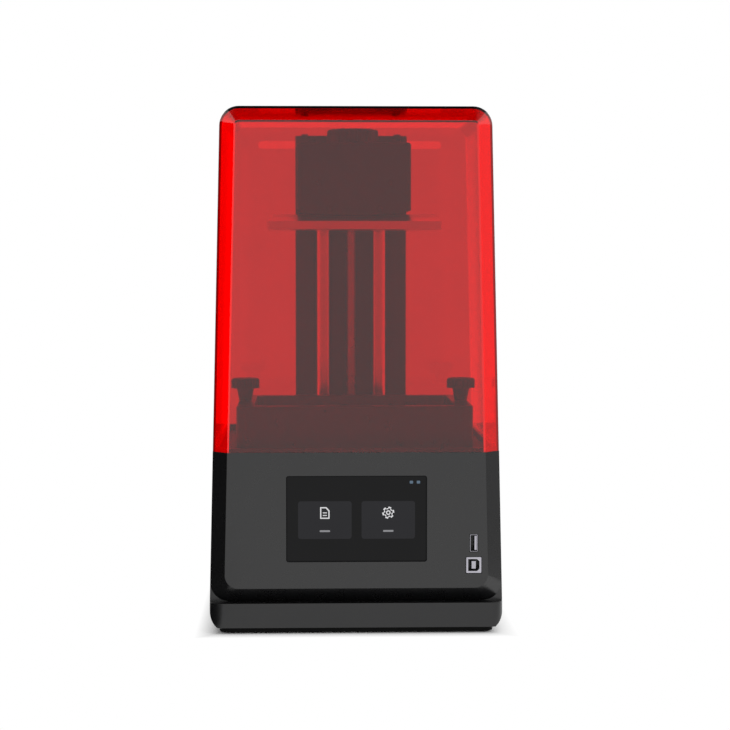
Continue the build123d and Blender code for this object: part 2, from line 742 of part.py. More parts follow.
def clamp_places():
    return [(-CLAMP_X, VAT_Y), (CLAMP_X, VAT_Y)]


def under_vat(width, depth, z0, z1, corner=0.0):
    """An upright block centred under the vat."""
    return centred(0, VAT_Y, width, depth, z0, z1, corner)


def make_deck_plate():
    inset = WALL + RIM_GAP + RIM_LIP + FIT
    above = DECK_TOP + CUT
    below = DECK_LOW - CUT
    deck = plan_plate(inset, COVER_SEAM, DECK_LOW, DECK_TOP)
    deck -= under_vat(LIGHT_WIDTH, LIGHT_DEPTH, below, above, PLATE_ROUND)
    deck -= under_vat(LCD_WIDTH + 2 * FIT, LCD_DEPTH + 2 * FIT, LCD_TOP - LCD_THICK, above)
    deck -= upright(0, DRIVE_Y, below, above, BEARING_RADIUS)
    for x, y in clamp_places():
        deck -= upright(x, y, below, above, INSERT_RADIUS - INSERT_RIM)
    return deck


def make_deck_inserts():
    low = DECK_LOW - INSERT_DEPTH
    return group(
        upright(x, y, low, DECK_LOW, INSERT_RADIUS)
        - upright(x, y, low + INSERT_FLOOR, DECK_LOW + CUT, CLAMP_SHANK + THREAD_GAP)
        for x, y in clamp_places()
    )


def make_mask_lcd():
    return under_vat(LCD_WIDTH, LCD_DEPTH, LCD_TOP - LCD_THICK, LCD_TOP)


def make_fresnel_lens():
    return under_vat(
        LIGHT_WIDTH + FLANGE, LIGHT_DEPTH + FLANGE, FUNNEL_TOP, DECK_LOW, PLATE_ROUND
    )


def funnel_cone(grow):
    """The tapered passage from the lamp board up to the panel, grown by a wall."""
    upper = Pos(0, VAT_Y, FUNNEL_TOP) * Rectangle(LIGHT_WIDTH + grow, LIGHT_DEPTH + grow)
    lower = Pos(0, VAT_Y, FUNNEL_LOW) * Rectangle(LED_WIDTH + grow, LED_DEPTH + grow)
    return loft([lower, upper], ruled=True)


def make_light_funnel():
    funnel = funnel_cone(2 * FUNNEL_WALL)
    funnel += under_vat(
        LIGHT_WIDTH + FLANGE, LIGHT_DEPTH + FLANGE, FUNNEL_TOP - FUNNEL_WALL, FUNNEL_TOP, PLATE_ROUND
    )
    funnel += under_vat(
        LED_WIDTH + 2 * FLANGE, LED_DEPTH + 2 * FLANGE, FUNNEL_LOW, FUNNEL_LOW + FUNNEL_WALL,
        PLATE_ROUND,
    )
    return funnel - funnel_cone(0.0)


def make_led_board():
    return under_vat(
        LED_WIDTH + 2 * FLANGE, LED_DEPTH + 2 * FLANGE, FUNNEL_LOW - BOARD_THICK, FUNNEL_LOW
    )


def make_led_array():
    lamps = []
    for column in range(LED_COLUMNS):
        for row in range(LED_ROWS):
            x = (column - (LED_COLUMNS - 1) / 2) * LED_PITCH
            y = VAT_Y + (row - (LED_ROWS - 1) / 2) * LED_PITCH
            lamps.append(
                centred(x, y, LED_SIZE, LED_SIZE, FUNNEL_LOW, FUNNEL_LOW + LED_HEIGHT)
            )
    return group(lamps)


def make_heat_sink():
    """A finned block under the lamp board."""
    top = FUNNEL_LOW - BOARD_THICK
    width = LED_WIDTH + 2 * FLANGE
    depth = LED_DEPTH + 2 * FLANGE
    sink = under_vat(width, depth, top - SINK_BASE, top)
    pitch = (width - SINK_FIN) / (SINK_FINS - 1)
    for fin in range(SINK_FINS):
        x = (fin - (SINK_FINS - 1) / 2) * pitch
        sink += centred(x, VAT_Y, SINK_FIN, depth, top - SINK_HEIGHT, top)
    return sink


# Display and ports


def make_touch_glass():
    return window(
        0, SCREEN_LEVEL, SCREEN_WIDTH + 2 * GLASS_BORDER, SCREEN_HEIGHT + 2 * GLASS_BORDER,
        GLASS_FACE, GLASS_FACE + GLASS_THICK,
    )


def make_display_module():
    front = GLASS_FACE + GLASS_THICK
    return window(
        0, SCREEN_LEVEL, SCREEN_WIDTH + 2 * MODULE_BORDER, SCREEN_HEIGHT + 2 * MODULE_BORDER,
        front, front + MODULE_THICK,
    )


def make_display_bracket():
    front = GLASS_FACE + GLASS_THICK + MODULE_THICK
    rear = front + BRACKET_THICK
    reach = max(x for x, z in display_bosses()) + BOSS_RADIUS
    bracket = window(0, SCREEN_LEVEL, 2 * reach, SCREEN_HEIGHT, front, rear, PLATE_ROUND)
    return bracket - window(
        0, SCREEN_LEVEL, BRACKET_MOUTH_WIDTH, BRACKET_MOUTH_HEIGHT, front - CUT, rear + CUT,
        PLATE_ROUND,
    )


def make_display_screws():
    front = GLASS_FACE + GLASS_THICK + MODULE_THICK + BRACKET_THICK
    return group(
        facing(x, z, front, front + SCREW_HEAD_HEIGHT, SCREW_HEAD) for x, z in display_bosses()
    )


def make_usb_a_socket():
    """An upright socket: a thin steel shell with a contact tongue along its right side."""
    front = FRONT_Y + FIT
    rear = front + USB_A_DEPTH
    shell = window(PORT_X, USB_A_LEVEL, USB_A_WIDTH, USB_A_LENGTH, front, rear, SHELL_CORNER)
    inner_width = USB_A_WIDTH - 2 * SHELL
    inner_length = USB_A_LENGTH - 2 * SHELL
    shell -= window(
        PORT_X, USB_A_LEVEL, inner_width, inner_length, front - CUT, rear - WALL / 2, SHELL
    )
    tongue_x = PORT_X + inner_width / 2 - USB_A_TONGUE / 2 - USB_A_TONGUE_GAP
    return shell + window(
        tongue_x, USB_A_LEVEL, USB_A_TONGUE, inner_length - WALL / 2, front + CUT, rear - CUT
    )


def make_usb_b_socket():
    """A nearly square socket, turned so that its two bevelled corners face right."""
    front = FRONT_Y + FIT
    rear = front + USB_B_DEPTH
    shell = window(PORT_X, USB_B_LEVEL, USB_B_WIDTH, USB_B_HEIGHT, front, rear, SHELL_CORNER)
    mouth = Rectangle(USB_B_WIDTH - 2 * USB_B_WALL, USB_B_HEIGHT - 2 * USB_B_WALL)
    mouth = chamfer(mouth.vertices().sort_by(Axis.X)[-2:], USB_B_BEVEL)
    shell -= along_y(Pos(PORT_X, USB_B_LEVEL) * mouth, front - CUT, rear - 2 * CUT)
    return shell + window(
        PORT_X, USB_B_LEVEL, USB_B_TONGUE_WIDTH, USB_B_TONGUE_HEIGHT, front + CUT, rear - CUT
    )


def make_port_board():
    front = FRONT_Y + FIT + USB_A_DEPTH
    top, low = (z for x, z in port_bosses())
    board = window(
        PORT_X, (top + low) / 2, PORT_BOARD_WIDTH, top - low + 3 * BOSS_RADIUS, front,
        front + BOARD_THICK,
    )
    return board - window(
        PORT_X, USB_B_LEVEL, USB_B_WIDTH + PORT_GAP, USB_B_HEIGHT + PORT_GAP, front - CUT,
        front + BOARD_THICK + CUT,
    )


# Electronics on the bottom plate


def board_posts():
    reach_x = BOARD_WIDTH / 2 - BOARD_HOLE_INSET
    reach_y = BOARD_DEPTH / 2 - BOARD_HOLE_INSET
    return four_places(reach_x, reach_y, 0.0, BOARD_Y)


def make_mainboard():
    top = BOARD_LEVEL + BOARD_THICK
    parts_y = BOARD_Y + PARTS_Y
    board = centred(0, BOARD_Y, BOARD_WIDTH, BOARD_DEPTH, BOARD_LEVEL, top)
    board += centred(CHIP_X, parts_y, CHIP_SIZE, CHIP_SIZE, top, top + CHIP_HEIGHT)
    board += centred(COIL_X, parts_y, COIL_SIZE, COIL_SIZE, top, top + COIL_HEIGHT)
    plug_y = BOARD_Y + BOARD_DEPTH / 2 - PLUG_REAR_GAP - PLUG_DEPTH / 2
    for place in range(PLUG_COUNT):
        x = (place - (PLUG_COUNT - 1) / 2) * PLUG_PITCH
        board += centred(x, plug_y, PLUG_WIDTH, PLUG_DEPTH, top, top + PLUG_HEIGHT)
    for x, y in board_posts():
        board -= upright(x, y, BOARD_LEVEL - CUT, top + CUT, SCREW_SHANK + THREAD_GAP)
    return board


def make_board_standoffs():
    top = BOARD_LEVEL + BOARD_THICK
    return group(
        upright(x, y, SKIRT_FOOT, BOARD_LEVEL, BOSS_RADIUS)
        + upright(x, y, BOARD_LEVEL, top, SCREW_SHANK)
        + upright(x, y, top, top + SCREW_HEAD_HEIGHT, SCREW_HEAD)
        for x, y in board_posts()
    )


# Rear fan, power switch and inlet


def make_fan_frame():
    rear = REAR_Y - WALL
    front = rear - FAN_DEPTH
    frame = window(FAN_X, FAN_LEVEL, FAN_SIZE, FAN_SIZE, front, rear, PLATE_ROUND)
    frame -= facing(FAN_X, FAN_LEVEL, front - CUT, rear + CUT, FAN_BORE)
    inner = FAN_HUB / 2
    outer = FAN_BORE + CUT
    spoke = Pos(0, 0, (inner + outer) / 2) * Box(FAN_SPOKE, FAN_SKIN, outer - inner)
    for turn in range(FAN_SPOKES):
        angle = (turn + 0.5) * 360 / FAN_SPOKES
        frame += Pos(FAN_X, front + FAN_SKIN / 2, FAN_LEVEL) * Rot(0, angle, 0) * spoke
    frame += facing(FAN_X, FAN_LEVEL, front, front + FAN_SKIN, FAN_HUB)
    return frame + facing(FAN_X, FAN_LEVEL, front + FAN_SKIN, rear - 4 * CUT, FAN_AXLE)


def make_fan_rotor():
    """A hub with pitched blades, bored for the frame's axle."""
    front = REAR_Y - WALL - FAN_DEPTH + FAN_SKIN + FIT
    rear = REAR_Y - WALL - CUT
    rotor = facing(0, 0, front, rear, FAN_HUB)
    rotor -= facing(0, 0, front - CUT, rear - 2 * CUT, FAN_AXLE + RUN_GAP)
    reach = FAN_BORE - BLADE_TIP_GAP - FAN_HUB + BLADE_ROOT
    middle = FAN_HUB - BLADE_ROOT + reach / 2
    blade = Pos(0, (front + rear) / 2, middle) * Rot(0, 0, BLADE_ANGLE) * Box(
        BLADE_THICK, BLADE_WIDTH, reach
    )
    for turn in range(FAN_BLADES):
        rotor += Rot(0, turn * 360 / FAN_BLADES, 0) * blade
    return Pos(FAN_X, 0, FAN_LEVEL) * rotor


def make_switch_housing():
    """A flanged box with a well for the rocker and holes for its axle."""
    lip = SERVICE_FACE + SERVICE_LIP
    housing = window(
        SWITCH_X, SERVICE_LEVEL, SWITCH_WIDTH + SWITCH_LEDGE, SWITCH_HEIGHT + SWITCH_LEDGE,
        SERVICE_FACE, lip, SWITCH_LEDGE,
    )
    inside = 2 * (SWITCH_LEDGE + FIT)
    housing += window(
        SWITCH_X, SERVICE_LEVEL, SWITCH_WIDTH - inside, SWITCH_HEIGHT - inside,
        SERVICE_FACE - SWITCH_DEPTH, SERVICE_FACE,
    )
    housing -= window(
        SWITCH_X, SERVICE_LEVEL, 2 * (ROCKER_RADIUS + FIT), ROCKER_HEIGHT + 2 * FIT,
        SERVICE_FACE - WELL_DEPTH, lip + CUT,
    )
    return housing - rocker_axle(AXLE_RADIUS + RUN_GAP, FIT)


def rocker_axle(radius, extra=0.0):
    """The level bar that the rocker turns on, or the hole for it."""
    reach = ROCKER_HEIGHT / 2 + FIT + AXLE_GRIP + extra
    return upright(SWITCH_X, AXLE_Y, SERVICE_LEVEL - reach, SERVICE_LEVEL + reach, radius)


def make_switch_rocker():
    """A shallow vee with round ends, tipped so that its right half is pressed in."""
    band = Polygon(
        (-ROCKER_RADIUS, -ROCKER_BELOW), (ROCKER_RADIUS, -ROCKER_BELOW),
        (ROCKER_RADIUS, ROCKER_ABOVE), (0, ROCKER_ABOVE - ROCKER_VEE),
        (-ROCKER_RADIUS, ROCKER_ABOVE), align=None,
    )
    profile = Circle(ROCKER_RADIUS) & band
    rocker = extrude(Pos(0, 0, SERVICE_LEVEL - ROCKER_HEIGHT / 2) * profile, amount=ROCKER_HEIGHT)
    rocker = Pos(SWITCH_X, AXLE_Y, 0) * Rot(0, 0, -ROCKER_TURN) * rocker
    return rocker + rocker_axle(AXLE_RADIUS)


def make_dc_jack():
    lip = SERVICE_FACE + SERVICE_LIP
    rear = SERVICE_FACE - JACK_DEPTH
    jack = facing(JACK_X, SERVICE_LEVEL, SERVICE_FACE, lip, JACK_RADIUS)
    jack += facing(JACK_X, SERVICE_LEVEL, rear, SERVICE_FACE, JACK_RADIUS - JACK_STEP)
    jack -= facing(JACK_X, SERVICE_LEVEL, rear + JACK_FLOOR, lip + CUT, JACK_BORE)
    return jack + facing(JACK_X, SERVICE_LEVEL, rear + CUT, SERVICE_FACE, JACK_PIN)


# Column


def rod_places():
    return [(-ROD_X, DRIVE_Y), (ROD_X, DRIVE_Y)]


def make_column_foot():
    foot = centred(0, COLUMN_MIDDLE, 2 * POST_OUT, COLUMN_DEPTH, DECK_TOP, FOOT_TOP)
    foot -= upright(0, DRIVE_Y, DECK_TOP - CUT, FOOT_TOP + CUT, SCREW_RADIUS + SCREW_RELIEF)
    foot -= upright(
        0, DRIVE_Y, FOOT_TOP - BEARING_WIDTH, FOOT_TOP + CUT, BEARING_RADIUS + RUN_GAP
    )
    for x, y in rod_places():
        foot -= upright(x, y, FOOT_TOP - ROD_SEAT, FOOT_TOP + CUT, ROD_RADIUS + RUN_GAP)
    return foot


def make_column_channel():
    """An open extrusion: two side walls, a back web and two wide lips that face forward."""
    inside = POST_OUT - POST_WALL
    back = POST_REAR - POST_WALL
    low = FOOT_TOP - CUT
    high = CAP_LOW + CUT
    channel = block(-POST_OUT, POST_OUT, POST_FRONT, POST_REAR, FOOT_TOP, CAP_LOW)
    channel -= block(-inside, inside, POST_FRONT + POST_WALL, back, low, high)
    mouth = POST_OUT - POST_LIP
    return channel - block(-mouth, mouth, POST_FRONT - CUT, back, low, high)


def make_column_cap():
    cap = centred(0, COLUMN_MIDDLE, 2 * POST_OUT, COLUMN_DEPTH, CAP_LOW, COLUMN_TOP)
    cap = fillet(cap.edges().filter_by(Axis.Z).sort_by(Axis.Y)[:2], CAP_ROUND)
    cap -= upright(0, DRIVE_Y, CAP_LOW - CUT, CAP_LOW + BEARING_WIDTH, BEARING_RADIUS + RUN_GAP)
    for x, y in rod_places():
        cap -= upright(x, y, CAP_LOW - CUT, CAP_LOW + ROD_SEAT, ROD_RADIUS + RUN_GAP)
    return cap


def make_column_screws():
    """Cap screws that hold the cap down on the channel's two side walls."""
    x = POST_OUT - POST_SCREW_INSET
    places = [
        (sx * x, y)
        for sx in (-1, 1)
        for y in (POST_FRONT - CAP_SCREW_FRONT, POST_REAR - CAP_SCREW_REAR)
    ]
    return group(
        upright(x, y, COLUMN_TOP, COLUMN_TOP + SCREW_HEAD_HEIGHT, SCREW_HEAD)
        - upright(
            x, y, COLUMN_TOP + SCREW_HEAD_HEIGHT - SCREW_SOCKET_DEPTH,
            COLUMN_TOP + SCREW_HEAD_HEIGHT + CUT, SCREW_SOCKET,
        )
        for x, y in places
    )


def make_home_switch():
    """The switch that the arm meets at the bottom of its travel, with its spring lever."""
    x = -POST_OUT + POST_LIP / 2
    rear = POST_FRONT - FIT
    front = rear - HOME_DEPTH
    switch = block(
        x - HOME_WIDTH / 2, x + HOME_WIDTH / 2, front, rear, FOOT_TOP, FOOT_TOP + HOME_HEIGHT
    )
    lever_low = FOOT_TOP + LEVER_LOW
    return switch + block(
        x - LEVER_WIDTH / 2, x + LEVER_WIDTH / 2, front - LEVER_THICK, front, lever_low,
        lever_low + LEVER_HEIGHT,
    )


# Screw drive


def make_bearings():
    def bearing(low):
        high = low + BEARING_WIDTH
        ring = upright(0, DRIVE_Y, low, high, BEARING_RADIUS)
        return ring - upright(0, DRIVE_Y, low - CUT, high + CUT, SCREW_RADIUS + RUN_GAP)

    return group([bearing(FOOT_TOP - BEARING_WIDTH), bearing(CAP_LOW)])


def make_guide_rods():
    return group(
        upright(x, y, FOOT_TOP - ROD_SEAT, CAP_LOW + ROD_SEAT, ROD_RADIUS)
        for x, y in rod_places()
    )


def make_lead_screw():
    return upright(0, DRIVE_Y, SHAFT_JOIN, CAP_LOW + BEARING_WIDTH, SCREW_RADIUS)


def make_shaft_coupler():
    """A sleeve that joins the motor's shaft to the screw, slit round its middle to flex."""
    body = upright(0, DRIVE_Y, COUPLER_LOW, COUPLER_TOP, COUPLER_RADIUS)
    body -= upright(0, DRIVE_Y, COUPLER_LOW - CUT, SHAFT_JOIN, MOTOR_SHAFT + PRESS_GAP)
    body -= upright(0, DRIVE_Y, SHAFT_JOIN, COUPLER_TOP + CUT, SCREW_RADIUS + PRESS_GAP)
    for slit in range(COUPLER_SLITS):
        offset = (slit - (COUPLER_SLITS - 1) / 2) * COUPLER_SLIT_PITCH
        low = SHAFT_JOIN + offset - COUPLER_SLIT / 2
        high = low + COUPLER_SLIT
        ring = upright(0, DRIVE_Y, low, high, COUPLER_RADIUS + CUT)
        ring -= upright(0, DRIVE_Y, low, high, COUPLER_RADIUS - COUPLER_SLIT_DEPTH)
        body -= ring
    return body


def make_motor_shaft():
    low = MOTOR_TOP - MOTOR_HEIGHT + MOTOR_BORE_FLOOR + SHAFT_TAIL_GAP
    return upright(0, DRIVE_Y, low, SHAFT_JOIN, MOTOR_SHAFT)


def make_stepper_motor():
    """A square motor: cast ends with the laminated middle a step smaller."""
    low = MOTOR_TOP - MOTOR_HEIGHT
    motor = centred(0, DRIVE_Y, MOTOR_SIZE, MOTOR_SIZE, low, MOTOR_TOP)
    motor = chamfer(motor.edges().filter_by(Axis.Z), MOTOR_CHAMFER)
    band_low = low + MOTOR_END_LOW
    band_high = MOTOR_TOP - MOTOR_END_TOP
    wide = MOTOR_SIZE + 2 * CUT
    narrow = MOTOR_SIZE - 2 * MOTOR_STEP
    motor -= centred(0, DRIVE_Y, wide, wide, band_low, band_high) - centred(
        0, DRIVE_Y, narrow, narrow, band_low, band_high
    )
    pilot_top = MOTOR_TOP + MOTOR_PILOT_HEIGHT
    motor += upright(0, DRIVE_Y, MOTOR_TOP, pilot_top, MOTOR_PILOT)
    return motor - upright(
        0, DRIVE_Y, low + MOTOR_BORE_FLOOR, pilot_top + CUT, MOTOR_SHAFT + RUN_GAP
    )


def make_motor_bracket():
    """A plate over the motor that hangs from the deck on four posts."""
    width = 2 * (STANDOFF_X + BOSS_RADIUS)
    depth = 2 * (STANDOFF_Y + BOSS_RADIUS)
    bracket = centred(0, DRIVE_Y, width, depth, MOTOR_TOP, BRACKET_TOP, PLATE_ROUND)
    bracket -= upright(0, DRIVE_Y, MOTOR_TOP - CUT, BRACKET_TOP + CUT, MOTOR_PILOT + THREAD_GAP)
    for x, y in four_places(STANDOFF_X, STANDOFF_Y, 0.0, DRIVE_Y):
        bracket += upright(x, y, BRACKET_TOP, DECK_LOW, SCREW_HEAD)
    return bracket


def make_motor_screws():
    reach = MOTOR_SCREWS / 2
    head = SCREW_HEAD - FIT
    return group(
        upright(x, y, BRACKET_TOP, BRACKET_TOP + SCREW_HEAD_HEIGHT, head)
        for x, y in four_places(reach, reach, 0.0, DRIVE_Y)
    )


# Carriage and arm, at the top of their travel


def make_carriage():
    half = CARRIAGE_WIDTH / 2
    low = CARRIAGE_LOW - CUT
    high = CARRIAGE_TOP + CUT
    body = block(
        -half, half, COLUMN_FRONT, COLUMN_FRONT + CARRIAGE_DEPTH, CARRIAGE_LOW, CARRIAGE_TOP
    )
    body = fillet(body.edges().filter_by(Axis.Z), CARRIAGE_ROUND)
    for x, y in rod_places():
        body -= upright(x, y, low, high, ROD_RADIUS + BORE_RELIEF)
        body -= upright(x, y, low, CARRIAGE_LOW + BUSH_LENGTH, BUSH_RADIUS + PRESS_GAP)
        body -= upright(x, y, CARRIAGE_TOP - BUSH_LENGTH, high, BUSH_RADIUS + PRESS_GAP)
    body -= upright(0, DRIVE_Y, low, high, SCREW_RADIUS + BORE_RELIEF)
    return body - upright(0, DRIVE_Y, low, CARRIAGE_LOW + NUT_LENGTH, NUT_RADIUS + PRESS_GAP)


def make_rod_bushes():
    bushes = []
    for x, y in rod_places():
        for low in (CARRIAGE_LOW, CARRIAGE_TOP - BUSH_LENGTH):
            high = low + BUSH_LENGTH
            bush = upright(x, y, low, high, BUSH_RADIUS)
            bushes.append(bush - upright(x, y, low - CUT, high + CUT, ROD_RADIUS + RUN_GAP))
    return group(bushes)


def make_lead_nut():
    """A flanged nut, flattened front and back to clear the arm and the column."""
    low = CARRIAGE_LOW - NUT_FLANGE_THICK
    high = CARRIAGE_LOW + NUT_LENGTH
    nut = upright(0, DRIVE_Y, low, CARRIAGE_LOW, NUT_FLANGE)
    nut += upright(0, DRIVE_Y, low, high, NUT_RADIUS)
    nut -= upright(0, DRIVE_Y, low - CUT, high + CUT, SCREW_RADIUS + RUN_GAP)
    return nut & block(-NUT_FLANGE, NUT_FLANGE, COLUMN_FRONT, POST_FRONT, low, high)


def make_arm():
    """The cantilever that carries the platform, ribbed underneath."""
    half = ARM_FLANGE_WIDTH / 2
    beam = block(-ARM_HALF, ARM_HALF, ARM_FRONT, ARM_ROOT, ARM_LOW, ARM_TOP)
    beam = chamfer(beam.faces().sort_by(Axis.Y)[0].edges(), ARM_CHAMFER)
    flange = block(
        -half, half, ARM_ROOT, COLUMN_FRONT, ARM_LOW - ARM_FLANGE_SKIRT, CARRIAGE_TOP
    )
    arm = beam + fillet(flange.edges().filter_by(Axis.Y), ARM_FLANGE_ROUND)
    inside = ARM_HALF - ARM_WALL
    pitch = (ARM_REACH - ARM_WALL) / ARM_BAYS
    for place in range(ARM_BAYS):
        start = ARM_FRONT + ARM_WALL + place * pitch
        end = start + pitch - ARM_WALL / 2
        arm -= block(-inside, inside, start, end, ARM_LOW - CUT, ARM_TOP - ARM_WALL)
    return arm


def make_arm_screws():
    reach = ARM_FLANGE_WIDTH / 2 - ARM_SCREW_INSET
    levels = (ARM_LOW - ARM_FLANGE_SKIRT + ARM_SCREW_INSET, CARRIAGE_TOP - ARM_SCREW_INSET)
    return group(
        facing(sx * reach, z, ARM_ROOT - SCREW_HEAD, ARM_ROOT, BOLT_HEAD)
        for sx in (-1, 1)
        for z in levels
    )


# Platform: a block that slides on the arm, a ball joint under it and the build plate


def level_screw_places():
    return four_places(LEVEL_SCREW_X, LEVEL_SCREW_Y, 0.0, VAT_Y)


def holder_apron():
    """The curved skirt under the block's front face."""
    high = HOLDER_LOW + APRON_OVERLAP
    low = HOLDER_LOW - APRON_DROP
    ends = low + APRON_BULGE
    reach = HOLDER_HALF - HOLDER_ROUND
    outline = make_face([
        Line((-reach, high), (reach, high)),
        Line((reach, high), (reach, ends)),
        ThreePointArc((reach, ends), (0, low), (-reach, ends)),
        Line((-reach, ends), (-reach, high)),
    ])
    return along_y(outline, HOLDER_FRONT, HOLDER_FRONT + APRON_THICK)


def make_platform_holder():
    body = block(-HOLDER_HALF, HOLDER_HALF, HOLDER_FRONT, HOLDER_REAR, HOLDER_LOW, HOLDER_TOP)
    body = fillet(body.edges().filter_by(Axis.Z), HOLDER_ROUND)
    body = chamfer(body.faces().sort_by(Axis.Z)[-1].edges(), HOLDER_CHAMFER)
    body += holder_apron()
    slot = ARM_HALF + FIT
    body -= block(
        -slot, slot, ARM_FRONT - ARM_END_GAP, HOLDER_REAR + CUT, ARM_LOW - FIT, ARM_TOP + FIT
    )
    pocket = HOLDER_HALF - POCKET_SIDE
    body -= block(
        -pocket, pocket, HOLDER_FRONT + POCKET_WALL, HOLDER_REAR - POCKET_WALL,
        HOLDER_LOW - CUT, HOLDER_LOW + POCKET_DEPTH,
    )
    body -= Pos(0, VAT_Y, BALL_LEVEL) * Sphere(BALL_RADIUS + RUN_GAP)
    body -= upright(0, KNOB_Y, ARM_TOP, HOLDER_TOP + CUT, KNOB_STEM + THREAD_GAP)
    for x, y in level_screw_places():
        body -= upright(x, y, HOLDER_LOW - CUT, HOLDER_TOP + CUT, BOLT_SHANK + THREAD_GAP)
    return body


def make_levelling_screws():
    return group(socket_screw(x, y, PLATE_TOP, HOLDER_TOP) for x, y in level_screw_places())


def make_clamp_screws():
    """Small screws in the block's front face."""
    upper = HOLDER_TOP - FACE_SCREW_UPPER_DROP
    lower = HOLDER_LOW + FACE_SCREW_LOWER_RISE
    front = HOLDER_FRONT - SCREW_HEAD_HEIGHT
    return group(
        facing(sx * x, z, front, HOLDER_FRONT, SCREW_HEAD)
        - facing(sx * x, z, front - CUT, front + SCREW_SOCKET_DEPTH, SCREW_SOCKET)
        for x, z in ((FACE_SCREW_UPPER_X, upper), (FACE_SCREW_LOWER_X, lower))
        for sx in (-1, 1)
    )


def make_ball_post():
    disc_top = PLATE_TOP + POST_DISC_HEIGHT
    post = upright(0, VAT_Y, PLATE_TOP, disc_top, POST_DISC)
    post += Pos(0, VAT_Y, disc_top + POST_CONE_HEIGHT / 2) * Cone(
        POST_CONE_LOW, POST_CONE_TOP, POST_CONE_HEIGHT
    )
    return post + Pos(0, VAT_Y, BALL_LEVEL) * Sphere(BALL_RADIUS)


def make_build_plate():
    """The plate's top slopes to its edges, so that resin runs off it."""
    slab = under_vat(PLATE_WIDTH, PLATE_DEPTH, PLATE_LOW, PLATE_SHOULDER, PLATE_EDGE_ROUND)
    foot = Pos(0, VAT_Y, PLATE_SHOULDER) * Rectangle(PLATE_WIDTH, PLATE_DEPTH)
    ridge = Pos(0, VAT_Y, PLATE_TOP) * Rectangle(
        PLATE_WIDTH - 2 * PLATE_SLOPE_SIDE, PLATE_DEPTH - 2 * PLATE_SLOPE_END
    )
    roof = loft([foot, ridge], ruled=True)
    roof &= under_vat(PLATE_WIDTH, PLATE_DEPTH, PLATE_SHOULDER, PLATE_TOP, PLATE_EDGE_ROUND)
    return slab + roof


def make_platform_knob():
    """A scalloped hand knob whose stem bears on the arm."""
    low = HOLDER_TOP + FIT
    knob = fillet(Cylinder(KNOB_RADIUS, KNOB_HEIGHT).edges().sort_by(Axis.Z)[-1:], KNOB_ROUND)
    reach = KNOB_RADIUS + KNOB_SCALLOP_OUT
    for lobe in range(KNOB_LOBES):
        angle = radians(360 / KNOB_LOBES * (lobe + 0.5))
        place = Pos(reach * cos(angle), reach * sin(angle), 0)
        knob -= place * Cylinder(KNOB_SCALLOP, 2 * KNOB_HEIGHT)
    knob = Pos(0, KNOB_Y, low + KNOB_HEIGHT / 2) * knob
    return knob + upright(0, KNOB_Y, ARM_TOP + FIT, low, KNOB_STEM)


# Vat


def pool():
    """The vat's opening above the film, with its walls leaning out."""
    grow = 2 * POOL_SLOPE
    lower = Pos(0, VAT_Y, FILM_TOP) * RectangleRounded(POOL_WIDTH, POOL_DEPTH, POOL_CORNER)
    upper = Pos(0, VAT_Y, VAT_TOP) * RectangleRounded(
        POOL_WIDTH + grow, POOL_DEPTH + grow, POOL_CORNER
    )
    return loft([lower, upper], ruled=True)


def lug_hollows():
    """The recesses in the vat's two ends, either side of the clamps' lugs."""
    inner = POOL_WIDTH / 2 + POOL_SLOPE + VAT_WALL
    outer = VAT_WIDTH / 2 + CUT
    near = LUG_RADIUS
    far = VAT_DEPTH / 2 - VAT_CORNER
    for x, y in four_places((inner + outer) / 2, (near + far) / 2, 0.0, VAT_Y):
        yield centred(
            x, y, outer - inner, far - near, DECK_TOP + 2 * VAT_FLANGE, VAT_TOP - VAT_FLANGE
        )


def make_vat_tub():
    seat = 2 * (FRAME_WIDTH + FIT)
    tub = under_vat(VAT_WIDTH, VAT_DEPTH, DECK_TOP, VAT_TOP, VAT_CORNER)
    tub = chamfer(tub.faces().sort_by(Axis.Z)[-1].edges(), VAT_CHAMFER)
    tub -= pool()
    tub -= under_vat(POOL_WIDTH + seat, POOL_DEPTH + seat, DECK_TOP - CUT, FRAME_TOP)
    tub += under_vat(
        POOL_WIDTH + FRAME_WIDTH, POOL_DEPTH + FRAME_WIDTH, FILM_TOP, FRAME_TOP, POOL_CORNER
    ) - under_vat(POOL_WIDTH, POOL_DEPTH, FILM_TOP, FRAME_TOP, POOL_CORNER)
    for hollow in lug_hollows():
        tub -= hollow
    for x, y in clamp_places():
        tub -= upright(x, y, DECK_TOP - CUT, VAT_TOP + CUT, CLAMP_SHANK + FIT)
    return tub


def make_film_frame():
    """The frame that stretches the film: a rim round it and a lip under it."""
    outer = 2 * FRAME_WIDTH
    step = FRAME_WIDTH + 2 * FIT
    lip = 2 * FRAME_LIP_REACH
    frame = under_vat(POOL_WIDTH + outer, POOL_DEPTH + outer, DECK_TOP, FRAME_TOP)
    frame -= under_vat(
        POOL_WIDTH + step, POOL_DEPTH + step, FILM_LOW, FRAME_TOP + CUT, POOL_CORNER
    )
    return frame - under_vat(
        POOL_WIDTH - lip, POOL_DEPTH - lip, DECK_TOP - CUT, FILM_LOW + CUT, POOL_CORNER
    )


def make_release_film():
    return under_vat(
        POOL_WIDTH + FRAME_WIDTH, POOL_DEPTH + FRAME_WIDTH, FILM_LOW, FILM_TOP, POOL_CORNER
    )


